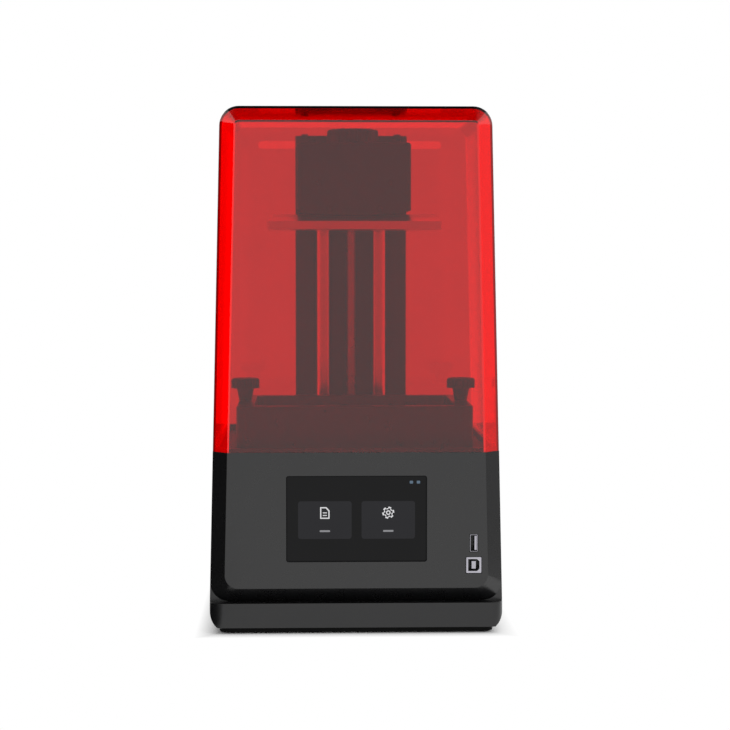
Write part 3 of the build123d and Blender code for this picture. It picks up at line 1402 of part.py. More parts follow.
def make_thumbscrew(x):
    """A notched head on a tapered neck, moulded round the end of a steel stud."""
    neck_top = VAT_TOP + CLAMP_NECK_HEIGHT
    head = fillet(
        Cylinder(CLAMP_HEAD, CLAMP_HEAD_HEIGHT).edges().sort_by(Axis.Z)[-1:], CLAMP_HEAD_ROUND
    )
    reach = CLAMP_HEAD + CLAMP_NOTCH_OUT
    for notch in range(CLAMP_NOTCHES):
        angle = radians(360 / CLAMP_NOTCHES * notch)
        place = Pos(reach * cos(angle), reach * sin(angle), 0)
        head -= place * Cylinder(CLAMP_NOTCH, 2 * CLAMP_HEAD_HEIGHT)
    neck = Pos(x, VAT_Y, VAT_TOP + CLAMP_NECK_HEIGHT / 2) * Cone(
        CLAMP_NECK_LOW, CLAMP_NECK_TOP, CLAMP_NECK_HEIGHT
    )
    screw = neck + Pos(x, VAT_Y, neck_top + CLAMP_HEAD_HEIGHT / 2) * head
    return screw - upright(x, VAT_Y, VAT_TOP - CUT, VAT_TOP + CLAMP_GRIP, CLAMP_SHANK + PRESS_GAP)


def make_clamp_stud(x):
    """The stud that goes through the vat into the deck's insert."""
    low = DECK_LOW - INSERT_DEPTH + INSERT_FLOOR + CLAMP_END_GAP
    return upright(x, VAT_Y, low, VAT_TOP + CLAMP_GRIP, CLAMP_SHANK)


def build():
    os.makedirs("parts", exist_ok=True)
    pieces = {
        "cover": make_cover(),
        "base_housing": make_base_housing(),
        "skirt": make_skirt(),
        "bottom_plate": make_bottom_plate(),
        "rubber_feet": make_rubber_feet(),
        "deck_plate": make_deck_plate(),
        "deck_inserts": make_deck_inserts(),
        "mask_lcd": make_mask_lcd(),
        "fresnel_lens": make_fresnel_lens(),
        "light_funnel": make_light_funnel(),
        "led_board": make_led_board(),
        "led_array": make_led_array(),
        "heat_sink": make_heat_sink(),
        "touch_glass": make_touch_glass(),
        "display_module": make_display_module(),
        "display_bracket": make_display_bracket(),
        "display_screws": make_display_screws(),
        "usb_a_socket": make_usb_a_socket(),
        "usb_b_socket": make_usb_b_socket(),
        "port_board": make_port_board(),
        "mainboard": make_mainboard(),
        "board_standoffs": make_board_standoffs(),
        "fan_frame": make_fan_frame(),
        "fan_rotor": make_fan_rotor(),
        "switch_housing": make_switch_housing(),
        "switch_rocker": make_switch_rocker(),
        "dc_jack": make_dc_jack(),
        "column_foot": make_column_foot(),
        "column_channel": make_column_channel(),
        "column_cap": make_column_cap(),
        "column_screws": make_column_screws(),
        "home_switch": make_home_switch(),
        "screw_bearings": make_bearings(),
        "guide_rods": make_guide_rods(),
        "lead_screw": make_lead_screw(),
        "shaft_coupler": make_shaft_coupler(),
        "motor_shaft": make_motor_shaft(),
        "stepper_motor": make_stepper_motor(),
        "motor_bracket": make_motor_bracket(),
        "motor_screws": make_motor_screws(),
        "carriage": make_carriage(),
        "rod_bushes": make_rod_bushes(),
        "lead_nut": make_lead_nut(),
        "arm": make_arm(),
        "arm_screws": make_arm_screws(),
        "platform_holder": make_platform_holder(),
        "levelling_screws": make_levelling_screws(),
        "clamp_screws": make_clamp_screws(),
        "ball_post": make_ball_post(),
        "build_plate": make_build_plate(),
        "platform_knob": make_platform_knob(),
        "vat_tub": make_vat_tub(),
        "film_frame": make_film_frame(),
        "release_film": make_release_film(),
        "thumbscrew_left": make_thumbscrew(-CLAMP_X),
        "thumbscrew_right": make_thumbscrew(CLAMP_X),
        "clamp_stud_left": make_clamp_stud(-CLAMP_X),
        "clamp_stud_right": make_clamp_stud(CLAMP_X),
    }
    for name, shape in pieces.items():
        export_step(shape, f"parts/{name}.step")
    print("pieces", len(pieces), "travel", round(TRAVEL, 2))


build()
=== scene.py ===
# %% [markdown]
# # A desktop resin printer
# The printer is a black moulded base with a touch screen, and a tinted red cover that lifts off.
# Behind the red cover stand a vat, a build plate on its arm, and a column with a drive screw.
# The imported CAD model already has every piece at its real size. So this script does three things:
# it lights and frames the model, softens and details the pieces, and gives each its finish.

import json
import math

import bmesh
import bpy
from mathutils import Matrix, Vector

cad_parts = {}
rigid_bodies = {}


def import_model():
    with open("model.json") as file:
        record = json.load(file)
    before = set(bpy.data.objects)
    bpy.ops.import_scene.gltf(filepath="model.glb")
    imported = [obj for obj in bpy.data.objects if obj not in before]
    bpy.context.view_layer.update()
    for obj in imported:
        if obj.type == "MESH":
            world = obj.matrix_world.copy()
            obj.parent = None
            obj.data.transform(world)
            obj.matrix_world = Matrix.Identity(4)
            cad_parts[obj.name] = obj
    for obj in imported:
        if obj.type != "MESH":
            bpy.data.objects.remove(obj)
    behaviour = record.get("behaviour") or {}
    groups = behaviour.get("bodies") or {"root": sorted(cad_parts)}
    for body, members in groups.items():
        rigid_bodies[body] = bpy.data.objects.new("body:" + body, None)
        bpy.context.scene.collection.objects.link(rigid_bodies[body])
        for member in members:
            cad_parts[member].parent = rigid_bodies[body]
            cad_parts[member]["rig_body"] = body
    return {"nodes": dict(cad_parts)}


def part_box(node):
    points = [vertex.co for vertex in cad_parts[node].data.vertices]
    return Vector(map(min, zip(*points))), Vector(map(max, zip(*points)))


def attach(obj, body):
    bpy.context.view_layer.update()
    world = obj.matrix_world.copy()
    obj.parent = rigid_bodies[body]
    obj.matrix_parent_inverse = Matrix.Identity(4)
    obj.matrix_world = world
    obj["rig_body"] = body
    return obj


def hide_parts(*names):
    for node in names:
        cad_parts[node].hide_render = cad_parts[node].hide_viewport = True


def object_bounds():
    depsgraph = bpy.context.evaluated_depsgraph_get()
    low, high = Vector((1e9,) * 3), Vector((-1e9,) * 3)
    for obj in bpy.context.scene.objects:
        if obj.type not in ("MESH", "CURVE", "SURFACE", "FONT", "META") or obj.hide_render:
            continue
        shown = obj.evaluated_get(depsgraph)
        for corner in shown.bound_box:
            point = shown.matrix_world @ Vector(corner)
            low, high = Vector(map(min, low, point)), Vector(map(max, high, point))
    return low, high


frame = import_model()
cad_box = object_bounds()
nodes = frame["nodes"]
print("frame", len(nodes), "nodes", [round(v, 4) for corner in cad_box for v in corner])

# %% [markdown]
# ## Units and colours
# Blender works in metres, but a maker thinks of this printer in millimetres, so one value turns
# one into the other. Finishes are chosen as sRGB hex codes, the way a colour card gives them.
# Shaders mix light, which adds up in linear values, so one function does the conversion.

# %% Units and colours
MM = 0.001


def linear(code, alpha=1.0):
    """A hex colour such as "4A4A4A" as the linear RGBA that shaders take."""
    parts = [int(code[place:place + 2], 16) / 255 for place in (0, 2, 4)]
    values = [p / 12.92 if p <= 0.04045 else ((p + 0.055) / 1.055) ** 2.4 for p in parts]
    return (*values, alpha)


def per_metre(size_mm):
    """The scale of a texture whose features are that many millimetres across."""
    return 1.0 / (size_mm * MM)


print("mid grey", [round(v, 3) for v in linear("808080")])

# %% [markdown]
# ## One helper for shader nodes
# A material is a small graph. Written out, each node takes three or four lines, so one function
# adds a node with its settings and its links: an input given as a socket is linked, and any other
# value is set on the socket itself. The short ones after it name four things that come up often:
# the place of a point, a ramp, a product and a size without its sign.

# %% Shader helper


def add(tree, kind, inputs=None, **settings):
    """Adds a node of a kind, with its settings, and with inputs by name or number."""
    node = tree.nodes.new("ShaderNode" + kind)
    for name, value in settings.items():
        setattr(node, name, value)
    for name, value in (inputs or {}).items():
        if isinstance(value, bpy.types.NodeSocket):
            tree.links.new(value, node.inputs[name])
        else:
            node.inputs[name].default_value = value
    return node


def new_material(name):
    """An empty material and its node tree, with the output and the coordinates ready."""
    material = bpy.data.materials.new(name)
    material.use_nodes = True
    tree = material.node_tree
    tree.nodes.clear()
    return material, tree


def close_material(tree, shader):
    """Links the finished shader to the material's output."""
    add(tree, "OutputMaterial", {"Surface": shader.outputs[0]})


def place(tree):
    """Where a point lies on the piece, in metres of the shared frame."""
    return add(tree, "TexCoord").outputs["Object"]


def ramp(tree, value, low, high):
    """1 where a value is above high, 0 below low, and a ramp between."""
    return add(tree, "MapRange", {0: value, 1: low, 2: high, 3: 0.0, 4: 1.0}).outputs[0]


def times(tree, first, second):
    """The product of two values."""
    return add(tree, "Math", {0: first, 1: second}, operation="MULTIPLY").outputs[0]


def size_of(tree, value):
    """A value without its sign."""
    return add(tree, "Math", {0: value}, operation="ABSOLUTE").outputs[0]


# %% [markdown]
# ## Camera
# The photograph looks at the front from a little above the middle and slightly from the left:
# what stands deep inside the cover is shifted to the left of the front's middle.
# A long lens a metre and a half away gives the same slow shrinking with depth. These values were
# found by projecting known points of the model, such as the seam and the screen's corners, and
# moving the camera until they met the same points of the photograph.

# %% Camera
CAMERA_DISTANCE = 1485 * MM
CAMERA_HEIGHT = 292 * MM
CAMERA_AZIMUTH = math.radians(-1.49)
AIM_X = 6.4 * MM
AIM_Z = 207 * MM
LENS_MM = 96.3

front_y = cad_box[0][1]
eye = Vector((
    CAMERA_DISTANCE * math.sin(CAMERA_AZIMUTH),
    front_y - CAMERA_DISTANCE * math.cos(CAMERA_AZIMUTH),
    CAMERA_HEIGHT,
))
aim = Vector((AIM_X, front_y, AIM_Z))
lens_data = bpy.data.cameras.new("camera")
lens_data.sensor_width = 36.0
lens_data.lens = LENS_MM
camera = bpy.data.objects.new("camera", lens_data)
camera.location = eye
camera.rotation_euler = (aim - eye).to_track_quat("-Z", "Y").to_euler()
bpy.context.scene.collection.objects.link(camera)
bpy.context.scene.camera = camera
bpy.context.scene.view_settings.view_transform = "Standard"
print("camera at", [round(v, 3) for v in eye], "aims at", [round(v, 3) for v in aim])

# %% [markdown]
# ## Background and lamps
# A product shot on white has a bright surround. The front of the printer mirrors it faintly, which
# lifts the black plastic to a dark grey and lays a pale veil over the red.
# The world is white where the camera, a reflection or a clear piece looks at it, and dimmer as a
# source of light, so that colours stay as they are written. Three soft lamps add a little shape.
# They stay out of reflections, because a square of light on a glossy cover would hide it.

# %% World and lamps
AMBIENT = 0.55

world = bpy.data.worlds.new("white_studio")
bpy.context.scene.world = world
world.use_nodes = True
sky = world.node_tree
sky.nodes.clear()
rays = add(sky, "LightPath")
seen = add(sky, "Math", {
    0: rays.outputs["Is Camera Ray"], 1: rays.outputs["Is Glossy Ray"]}, operation="MAXIMUM")
seen = add(sky, "Math", {
    0: seen.outputs[0], 1: rays.outputs["Is Transmission Ray"]}, operation="MAXIMUM")
strength = add(sky, "MapRange", {0: seen.outputs[0], 3: AMBIENT, 4: 1.0})
white = add(sky, "Background", {"Color": linear("FFFFFF"), "Strength": strength.outputs[0]})
sky_end = sky.nodes.new("ShaderNodeOutputWorld")
sky.links.new(white.outputs[0], sky_end.inputs["Surface"])


def lamp(name, position, aim, size, power):
    """A soft square lamp that points at a place on the printer and isn't mirrored by it."""
    data = bpy.data.lights.new(name, "AREA")
    data.shape = "SQUARE"
    data.size = size
    data.energy = power
    light = bpy.data.objects.new(name, data)
    light.location = position
    light.rotation_euler = (Vector(aim) - Vector(position)).to_track_quat("-Z", "Y").to_euler()
    light.visible_glossy = False
    light.visible_transmission = False
    bpy.context.scene.collection.objects.link(light)


HEART = (0, 0, 200 * MM)
LAMP_WATTS = 12
lamp("key_right", (1.1, -1.3, 1.0), HEART, 0.9, LAMP_WATTS)
lamp("fill_front", (-0.3, -2.2, 0.5), HEART, 1.2, LAMP_WATTS)
lamp("rim_back", (0.5, 1.4, 0.9), HEART, 0.8, LAMP_WATTS)

# %% [markdown]
# ## Floor and cards
# The floor is white paper. Under the printer, and 18 mm round it, the paper takes a soft shadow.
# Farther off it is as bright as the background, so no horizon shows.
# In the photograph the left bevels and the top mirror something dark, and the right bevel something
# grey. So cards stand there that only reflections see. Each is darkest beside the front's bevels
# and fades to white away from them, so that from other sides no hard edge of a card is mirrored.

# %% Floor and cards
FLOOR_SIZE = 6.0
FLOOR_DROP = 0.2 * MM
FOOT_REACH = 106 * MM
CONTACT_SHADOW = 18 * MM
CARD_HEART = -100 * MM
CARD_CORE = 60 * MM
CARD_FADE = 300 * MM
CARD_LENGTH = 700 * MM
CARD_HEIGHT = 420 * MM
GREY_LEVEL = 0.42


def flat_sheet(name, size_x, size_y, matrix):
    """A flat rectangle made with the grid operator."""
    mesh = bpy.data.meshes.new(name)
    shape = bmesh.new()
    bmesh.ops.create_grid(shape, x_segments=1, y_segments=1, size=0.5)
    bmesh.ops.transform(shape, matrix=matrix @ Matrix.Diagonal((size_x, size_y, 1, 1)),
                        verts=shape.verts)
    shape.to_mesh(mesh)
    shape.free()
    sheet = bpy.data.objects.new(name, mesh)
    bpy.context.scene.collection.objects.link(sheet)
    return sheet


floor_material, tree = new_material("white_paper_sweep")
paper = add(tree, "BsdfDiffuse", {"Color": linear("F4F4F4")})
glow = add(tree, "Emission", {"Color": linear("FFFFFF"), "Strength": 1.0})
spot = add(tree, "SeparateXYZ", {0: place(tree)})
away = add(tree, "Math", {
    0: size_of(tree, spot.outputs["X"]), 1: size_of(tree, spot.outputs["Y"])}, operation="MAXIMUM")
burnt_out = ramp(tree, away.outputs[0], FOOT_REACH, FOOT_REACH + CONTACT_SHADOW)
mix = add(tree, "MixShader", {0: burnt_out, 1: paper.outputs[0], 2: glow.outputs[0]})
close_material(tree, mix)
floor = flat_sheet("floor", FLOOR_SIZE, FLOOR_SIZE, Matrix.Translation((0, 0, -FLOOR_DROP)))
floor.data.materials.append(floor_material)


def card_finish(name, darkest):
    """A card's surface: darkest beside the front's bevels, and white farther off."""
    material, tree = new_material(name)
    spot = add(tree, "SeparateXYZ", {0: place(tree)})
    off = size_of(tree, add(tree, "Math", {0: spot.outputs["Y"], 1: CARD_HEART},
                            operation="SUBTRACT").outputs[0])
    white = add(tree, "MapRange", {0: off, 1: CARD_CORE, 2: CARD_FADE, 3: darkest, 4: 1.0})
    close_material(tree, add(tree, "Emission", {"Strength": white.outputs[0]}))
    return material


def reflected_card(name, size_x, centre, material, upright=True):
    """A card that only reflections see, standing on the floor's line or lying flat."""
    turn = Matrix.Rotation(math.radians(90), 4, "Y") if upright else Matrix.Identity(4)
    card = flat_sheet(name, size_x, CARD_LENGTH, Matrix.Translation(centre) @ turn)
    card.data.materials.append(material)
    card.visible_camera = False
    card.visible_diffuse = False
    card.visible_transmission = False
    card.visible_shadow = False
    card.visible_volume_scatter = False


black_card = card_finish("black_card", 0.0)
grey_card = card_finish("grey_card", GREY_LEVEL)
reflected_card("card_left", CARD_HEIGHT, (-0.2, CARD_HEART, CARD_HEIGHT / 2), black_card)
reflected_card("card_right", CARD_HEIGHT, (0.3, CARD_HEART, CARD_HEIGHT / 2), grey_card)
reflected_card("card_low", 0.08, (-0.16, CARD_HEART, 2 * MM), black_card, upright=False)
reflected_card("card_top", 1.6, (0.1, CARD_HEART, 1.3), black_card, upright=False)

# %% [markdown]
# ## Softened edges
# No moulded or machined edge is perfectly sharp. A fine round catches a line of light, and without
# it a model looks like card. The CAD pieces are exact but sharp, so each is copied, its triangles
# merged back into whole faces, and its sharp edges bevelled by a few tenths of a millimetre.
# The copy then stands for its CAD node. Weighted normals keep the large faces flat: without them
# the shading of each narrow round would spread over the whole face beside it, and a clear face
# would bend the view behind it. The upright edges behind the front's bevels are mitres with a
# larger round, so they get theirs first.

# %% Softened copies
SHARP = math.radians(24)
SAME_PLACE = 0.002 * MM
SAME_PLANE = math.radians(0.6)
MITRE_Y = front_y + 11.5 * MM
MITRE_OUT = 100 * MM
MITRE_SLACK = 0.3 * MM


def is_mitre_edge(edge):
    """True for the upright edges where the front's bevels meet the printer's sides."""
    return all(abs(v.co.x) > MITRE_OUT and abs(v.co.y - MITRE_Y) < MITRE_SLACK
               for v in edge.verts)


def bevel_edges(shape, edges, width_mm, segments):
    bmesh.ops.bevel(shape, geom=edges, offset=width_mm * MM, offset_type="OFFSET",
                    affect="EDGES", segments=segments, profile=0.5, material=-1,
                    clamp_overlap=True)


def softened(node, edge_mm, segments=2, mitre_mm=0.0):
    """A copy of a CAD node with merged faces and rounded edges, riding where the node rides."""
    shape = bmesh.new()
    shape.from_mesh(nodes[node].data)
    bmesh.ops.remove_doubles(shape, verts=shape.verts, dist=SAME_PLACE)
    bmesh.ops.dissolve_limit(shape, angle_limit=SAME_PLANE, verts=shape.verts,
                             edges=shape.edges, use_dissolve_boundaries=False)
    if mitre_mm:
        bevel_edges(shape, [e for e in shape.edges if is_mitre_edge(e)], mitre_mm, 4)
    sharp = [e for e in shape.edges if e.is_manifold and e.calc_face_angle(0) > SHARP]
    bevel_edges(shape, sharp, edge_mm, segments)
    mesh = bpy.data.meshes.new(node + "_piece")
    shape.to_mesh(mesh)
    shape.free()
    mesh.shade_smooth()
    mesh.set_sharp_from_angle(angle=SHARP)
    piece = bpy.data.objects.new(node + "_piece", mesh)
    bpy.context.scene.collection.objects.link(piece)
    even = piece.modifiers.new("even_normals", "WEIGHTED_NORMAL")
    even.weight = 100
    even.keep_sharp = True
    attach(piece, nodes[node]["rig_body"])
    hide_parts(node)
    return piece


def dress(names, edge_mm, material, segments=2, mitre_mm=0.0):
    """Softens some CAD nodes and gives them all one finish."""
    for node in names:
        piece = softened(node, edge_mm, segments, mitre_mm)
        piece.data.materials.clear()
        piece.data.materials.append(material)
    print("dressed", ", ".join(names))


def paint(names, material):
    """Gives CAD nodes that stay as they are their finish."""
    for node in names:
        data = nodes[node].data
        data.materials.clear()
        data.materials.append(material)
    print("painted", ", ".join(names))


# %% [markdown]
# ## Surfaces that aren't all one colour
# Plastic, paint and metal all drift a little in tone and gloss, and have a fine grain. One function
# lays that down: broad patches for the tone, smaller ones for the gloss, and a grain as bump.
# A second one rubs a paler tone in along outer edges, where hands and cloths touch most.
# The grain of a mould is a few tenths of a millimetre; it is drawn about twice as coarse so that it
# shows at this distance.

# %% Drifting surface


def drifting(tree, dark, light, patch_mm, rough, grain_mm, grain_height_mm, spread_mm=9.0):
    """Colour, roughness and bump outputs for a surface that varies gently over itself."""
    where = place(tree)
    patches = add(tree, "TexNoise", {"Vector": where, "Scale": per_metre(patch_mm), "Detail": 3.0})
    tone = add(tree, "Mix", {0: patches.outputs["Fac"], 6: linear(dark), 7: linear(light)},
               data_type="RGBA")
    spread = add(tree, "TexNoise", {"Vector": where, "Scale": per_metre(spread_mm), "Detail": 4.0})
    gloss = add(tree, "MapRange", {
        0: spread.outputs["Fac"], 1: 0.3, 2: 0.7, 3: rough[0], 4: rough[1]})
    grain = add(tree, "TexNoise", {"Vector": where, "Scale": per_metre(grain_mm), "Detail": 2.0})
    bump = add(tree, "Bump", {"Height": grain.outputs["Fac"], "Distance": grain_height_mm * MM,
                              "Strength": 0.6})
    return tone.outputs[2], gloss.outputs[0], bump.outputs[0]


def worn_edges(tree, colour, bare, reach_mm, amount):
    """Mixes a rubbed tone in along outer edges, found by looking a little way into the solid."""
    look = add(tree, "AmbientOcclusion", {"Distance": reach_mm * MM}, inside=True, only_local=True,
               samples=6)
    edge = add(tree, "MapRange", {0: look.outputs["AO"], 1: 0.75, 2: 0.35, 3: 0.0, 4: amount})
    return add(tree, "Mix", {0: edge.outputs[0], 6: colour, 7: linear(bare)},
               data_type="RGBA").outputs[2]


# %% [markdown]
# ## Moulded ABS
# The base and skirt are injection-moulded ABS, satin black. ABS has an IOR near 1.54 and this
# finish a roughness near 0.3: enough gloss to mirror a white room as a soft grey. The knob and
# the thumbscrews are the same plastic with a coarser texture, and the bottom plate is matt.

# %% ABS finishes


def satin_abs(name, dark, light, rough, ior=1.54, sheen_level=0.5):
    material, tree = new_material(name)
    tone, gloss, bump = drifting(tree, dark, light, 60, rough, 0.7, 0.012)
    tone = worn_edges(tree, tone, "2A2A2B", 0.8, 0.35)
    shader = add(tree, "BsdfPrincipled", {
        "Base Color": tone, "Roughness": gloss, "IOR": ior, "Specular IOR Level": sheen_level,
        "Normal": bump})
    close_material(tree, shader)
    return material


housing_finish = satin_abs("satin_black_abs", "0C0C0D", "0F0F10", (0.26, 0.31), 1.59)
skirt_finish = satin_abs("satin_black_abs_skirt", "0C0C0D", "111112", (0.28, 0.36), 1.52)
trim_finish = satin_abs("textured_black_abs", "101011", "161617", (0.42, 0.55))
vat_finish = satin_abs("glossy_black_vat", "131314", "161617", (0.27, 0.31))
plate_black = satin_abs("matt_black_plate", "060606", "0A0A0A", (0.6, 0.7), 1.5, 0.1)
foot_finish, tree = new_material("moulded_rubber")
tone, gloss, bump = drifting(tree, "0B0B0B", "131313", 12, (0.7, 0.85), 0.4, 0.02)
close_material(tree, add(tree, "BsdfPrincipled", {
    "Base Color": tone, "Roughness": gloss, "IOR": 1.52, "Normal": bump}))

dress(["base_housing"], 0.35, housing_finish, mitre_mm=2.2)
dress(["skirt"], 0.35, skirt_finish)
dress(["bottom_plate"], 0.4, plate_black)
dress(["rubber_feet"], 0.4, foot_finish)

# %% [markdown]
# ## Metals
# The column, arm and carriage are black-anodised aluminium; the build plate is bare aluminium with
# a fine milled grain; the rods are ground steel. Anodising keeps some of the metal's sheen under
# its black, and a grinding wheel leaves rings round a rod. The sockets' nickel shells are bright at
# the mouth, and painted shade darkens them inside.

# %% Metal finishes


def anodised_black(name, dark, light):
    material, tree = new_material(name)
    tone, gloss, bump = drifting(tree, dark, light, 35, (0.34, 0.48), 0.5, 0.008)
    tone = worn_edges(tree, tone, "3A3A3C", 0.7, 0.5)
    close_material(tree, add(tree, "BsdfPrincipled", {
        "Base Color": tone, "Roughness": gloss, "Metallic": 0.35, "Normal": bump}))
    return material


def grained_metal(name, dark, light, rough, grain_mm, stretch, height_mm=0.006):
    """Bare metal whose grain is drawn out along one axis by stretching its coordinates."""
    material, tree = new_material(name)
    tone, gloss, _ = drifting(tree, dark, light, 25, rough, 0.5, 0.005)
    drawn = add(tree, "Mapping", {"Vector": place(tree), "Scale": stretch})
    lines = add(tree, "TexNoise", {"Vector": drawn.outputs[0], "Scale": per_metre(grain_mm),
                                   "Detail": 3.0})
    bump = add(tree, "Bump", {"Height": lines.outputs["Fac"], "Distance": height_mm * MM,
                              "Strength": 0.5})
    shade = add(tree, "Mix", {0: lines.outputs["Fac"], 6: tone, 7: linear(light)}, data_type="RGBA")
    close_material(tree, add(tree, "BsdfPrincipled", {
        "Base Color": shade.outputs[2], "Roughness": gloss, "Metallic": 1.0,
        "Normal": bump.outputs[0]}))
    return material


def socket_finish(node):
    """A nickel-plated shell with painted shade inside, from a millimetre behind its mouth."""
    material, tree = new_material("nickel_shell_with_painted_shade_" + node)
    tone, gloss, bump = drifting(tree, "A3A1A8", "C6C4CE", 8, (0.18, 0.3), 0.5, 0.005, 3.0)
    spot = add(tree, "SeparateXYZ", {0: place(tree)})
    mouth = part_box(node)[0].y
    # Painted shade: past 1.2 mm inside the mouth the shell turns near black and the metal stops
    # reflecting.
    inside = ramp(tree, spot.outputs["Y"], mouth + 1.2 * MM, mouth + 1.5 * MM)
    shade = add(tree, "Mix", {0: inside, 6: tone, 7: linear("101012")}, data_type="RGBA")
    bare = add(tree, "Math", {0: 1.0, 1: inside}, operation="SUBTRACT")
    close_material(tree, add(tree, "BsdfPrincipled", {
        "Base Color": shade.outputs[2], "Roughness": gloss, "Metallic": bare.outputs[0],
        "Normal": bump}))
    return material


column_finish = anodised_black("black_anodised_aluminium", "101011", "181819")
platform_finish = anodised_black("black_anodised_casting", "141415", "1D1D1E")
deck_finish = satin_abs("black_powder_coat", "0D0D0E", "141415", (0.45, 0.6))
plate_finish = grained_metal("milled_aluminium", "D6D8DA", "ECEEF0", (0.28, 0.4), 0.9, (0.05, 1, 1))
rod_finish = grained_metal("ground_steel", "B8BABD", "DADCDF", (0.12, 0.2), 0.6, (0.2, 0.2, 1))
zinc_finish = grained_metal("zinc_plated_steel", "8A8C90", "B5B7BA", (0.25, 0.4), 1.5, (1, 1, 1))
black_steel = anodised_black("blackened_steel", "121213", "1C1C1D")
brass_finish = grained_metal("turned_brass", "A8823E", "CBA55C", (0.22, 0.35), 0.5, (0.2, 0.2, 1))
bare_finish = grained_metal(
    "extruded_aluminium", "9EA0A3", "C2C4C7", (0.35, 0.5), 0.8, (1, 0.08, 1))

dress(["deck_plate"], 0.3, deck_finish)
dress(["column_foot", "column_channel", "column_cap"], 0.4, column_finish)
dress(["carriage", "arm"], 0.5, column_finish)
dress(["platform_holder"], 0.6, platform_finish, segments=3)
dress(["build_plate"], 0.4, plate_finish)
dress(["ball_post"], 0.3, rod_finish)
dress(["levelling_screws", "clamp_screws", "arm_screws", "column_screws"], 0.3, black_steel)
paint(["clamp_stud_left", "clamp_stud_right"], zinc_finish)
dress(["film_frame"], 0.2, rod_finish)
dress(["vat_tub"], 0.6, vat_finish, segments=3)
dress(["platform_knob", "thumbscrew_left", "thumbscrew_right"], 0.5, trim_finish)
for socket in ("usb_a_socket", "usb_b_socket"):
    dress([socket], 0.1, socket_finish(socket))
dress(["home_switch", "switch_housing", "switch_rocker", "dc_jack", "fan_frame"], 0.25, trim_finish)
paint(["guide_rods", "screw_bearings", "motor_shaft"], rod_finish)
paint(["rod_bushes", "lead_nut", "deck_inserts", "board_standoffs"], brass_finish)
paint(["heat_sink", "led_board", "shaft_coupler"], bare_finish)
paint(["display_bracket", "display_screws", "motor_bracket", "motor_screws"], zinc_finish)
paint(["stepper_motor"], column_finish)
paint(["fan_rotor", "display_module", "light_funnel"], trim_finish)

# %% [markdown]
# ## Acrylic cover
# The cover is red acrylic, IOR 1.49, polished. It takes out nearly all green and blue light, which
# is what keeps stray light from curing the resin. Light that enters the sheet is guided along it
# and comes out at its bevels, at the groove in its rear wall, and towards the rear of its inner
# walls. A little red emission there stands for that. The masks for it come from each face's
# direction and place: a bevel looks half sideways and half forward, an inner wall looks inward.

# %% Acrylic cover
EDGE_GLOW = 0.25
WALL_GLOW = 0.38
GROOVE_GLOW = 0.4
GLOW_START = -20 * MM
GLOW_FULL = 60 * MM
GROOVE_FLOOR = cad_box[1][1] - 1.2 * MM
GROOVE_SLACK = 0.3 * MM
HALF_WIDTH = cad_box[1][0]


def tinted_acrylic():
    """Clear red plastic with masks for the places where it glows."""
    material, tree = new_material("red_tinted_acrylic")
    where = place(tree)
    haze = add(tree, "TexNoise", {"Vector": where, "Scale": per_metre(45), "Detail": 2.0})
    tint = add(tree, "Mix", {0: haze.outputs["Fac"], 6: linear("D60808"), 7: linear("DE0A0A")},
               data_type="RGBA")
    ripple = add(tree, "TexNoise", {"Vector": where, "Scale": per_metre(70), "Detail": 1.0})
    bump = add(tree, "Bump", {"Height": ripple.outputs["Fac"], "Distance": 0.02 * MM,
                              "Strength": 0.4})
    normal = add(tree, "SeparateXYZ", {0: add(tree, "NewGeometry").outputs["True Normal"]})
    side = size_of(tree, normal.outputs["X"])
    front = size_of(tree, normal.outputs["Y"])
    bevels = ramp(tree, times(tree, side, front), 0.35, 0.48)
    spot = add(tree, "SeparateXYZ", {0: where})
    outward = times(tree, times(tree, spot.outputs["X"], normal.outputs["X"]), -1 / HALF_WIDTH)
    inner = add(tree, "Math", {0: outward, 1: times(tree, normal.outputs["Z"], -1.0)},
                operation="MAXIMUM")
    walls = times(tree, ramp(tree, inner.outputs[0], 0.85, 0.95),
                  ramp(tree, spot.outputs["Y"], GLOW_START, GLOW_FULL))
    at_floor = add(tree, "Math", {0: spot.outputs["Y"], 1: GROOVE_FLOOR, 2: GROOVE_SLACK},
                   operation="COMPARE")
    groove = times(tree, ramp(tree, front, 0.9, 0.98), at_floor.outputs[0])
    glow = add(tree, "Math", {
        0: times(tree, bevels, EDGE_GLOW), 1: times(tree, walls, WALL_GLOW)}, operation="ADD")
    glow = add(tree, "Math", {
        0: glow.outputs[0], 1: times(tree, groove, GROOVE_GLOW)}, operation="ADD")
    shader = add(tree, "BsdfPrincipled", {
        "Base Color": tint.outputs[2], "Roughness": 0.04, "IOR": 1.49,
        "Transmission Weight": 1.0, "Coat Weight": 0.3, "Coat Roughness": 0.06,
        "Emission Color": linear("FF0505"), "Emission Strength": glow.outputs[0],
        "Normal": bump.outputs[0]})
    close_material(tree, shader)
    return material


dress(["cover"], 0.3, tinted_acrylic(), mitre_mm=1.2)

# %% [markdown]
# ## Glass and clear plastic
# The lens under the mask panel is moulded acrylic, and the film in the vat is a thin clear sheet.
# The mask panel and the touch glass look black, because what lies behind them is dark. The touch
# glass has a coating against reflections, so it mirrors less than bare glass: the IOR of 1.22
# stands for that.

# %% Glass and clear plastic
COATED_GLASS_IOR = 1.22


def clear_plastic(name, colour, rough, ior):
    material, tree = new_material(name)
    haze = add(tree, "TexNoise", {"Vector": place(tree), "Scale": per_metre(20)})
    gloss = add(tree, "MapRange", {0: haze.outputs["Fac"], 3: rough, 4: rough + 0.06})
    close_material(tree, add(tree, "BsdfPrincipled", {
        "Base Color": linear(colour), "Roughness": gloss.outputs[0], "IOR": ior,
        "Transmission Weight": 1.0}))
    return material


def black_glass(name, colour, ior=1.52):
    """Glass over a dark panel: a black body under a polished face."""
    material, tree = new_material(name)
    tone, gloss, _ = drifting(tree, colour, "0E0E10", 40, (0.05, 0.09), 1.0, 0.0)
    close_material(tree, add(tree, "BsdfPrincipled", {
        "Base Color": tone, "Roughness": gloss, "IOR": ior}))
    return material


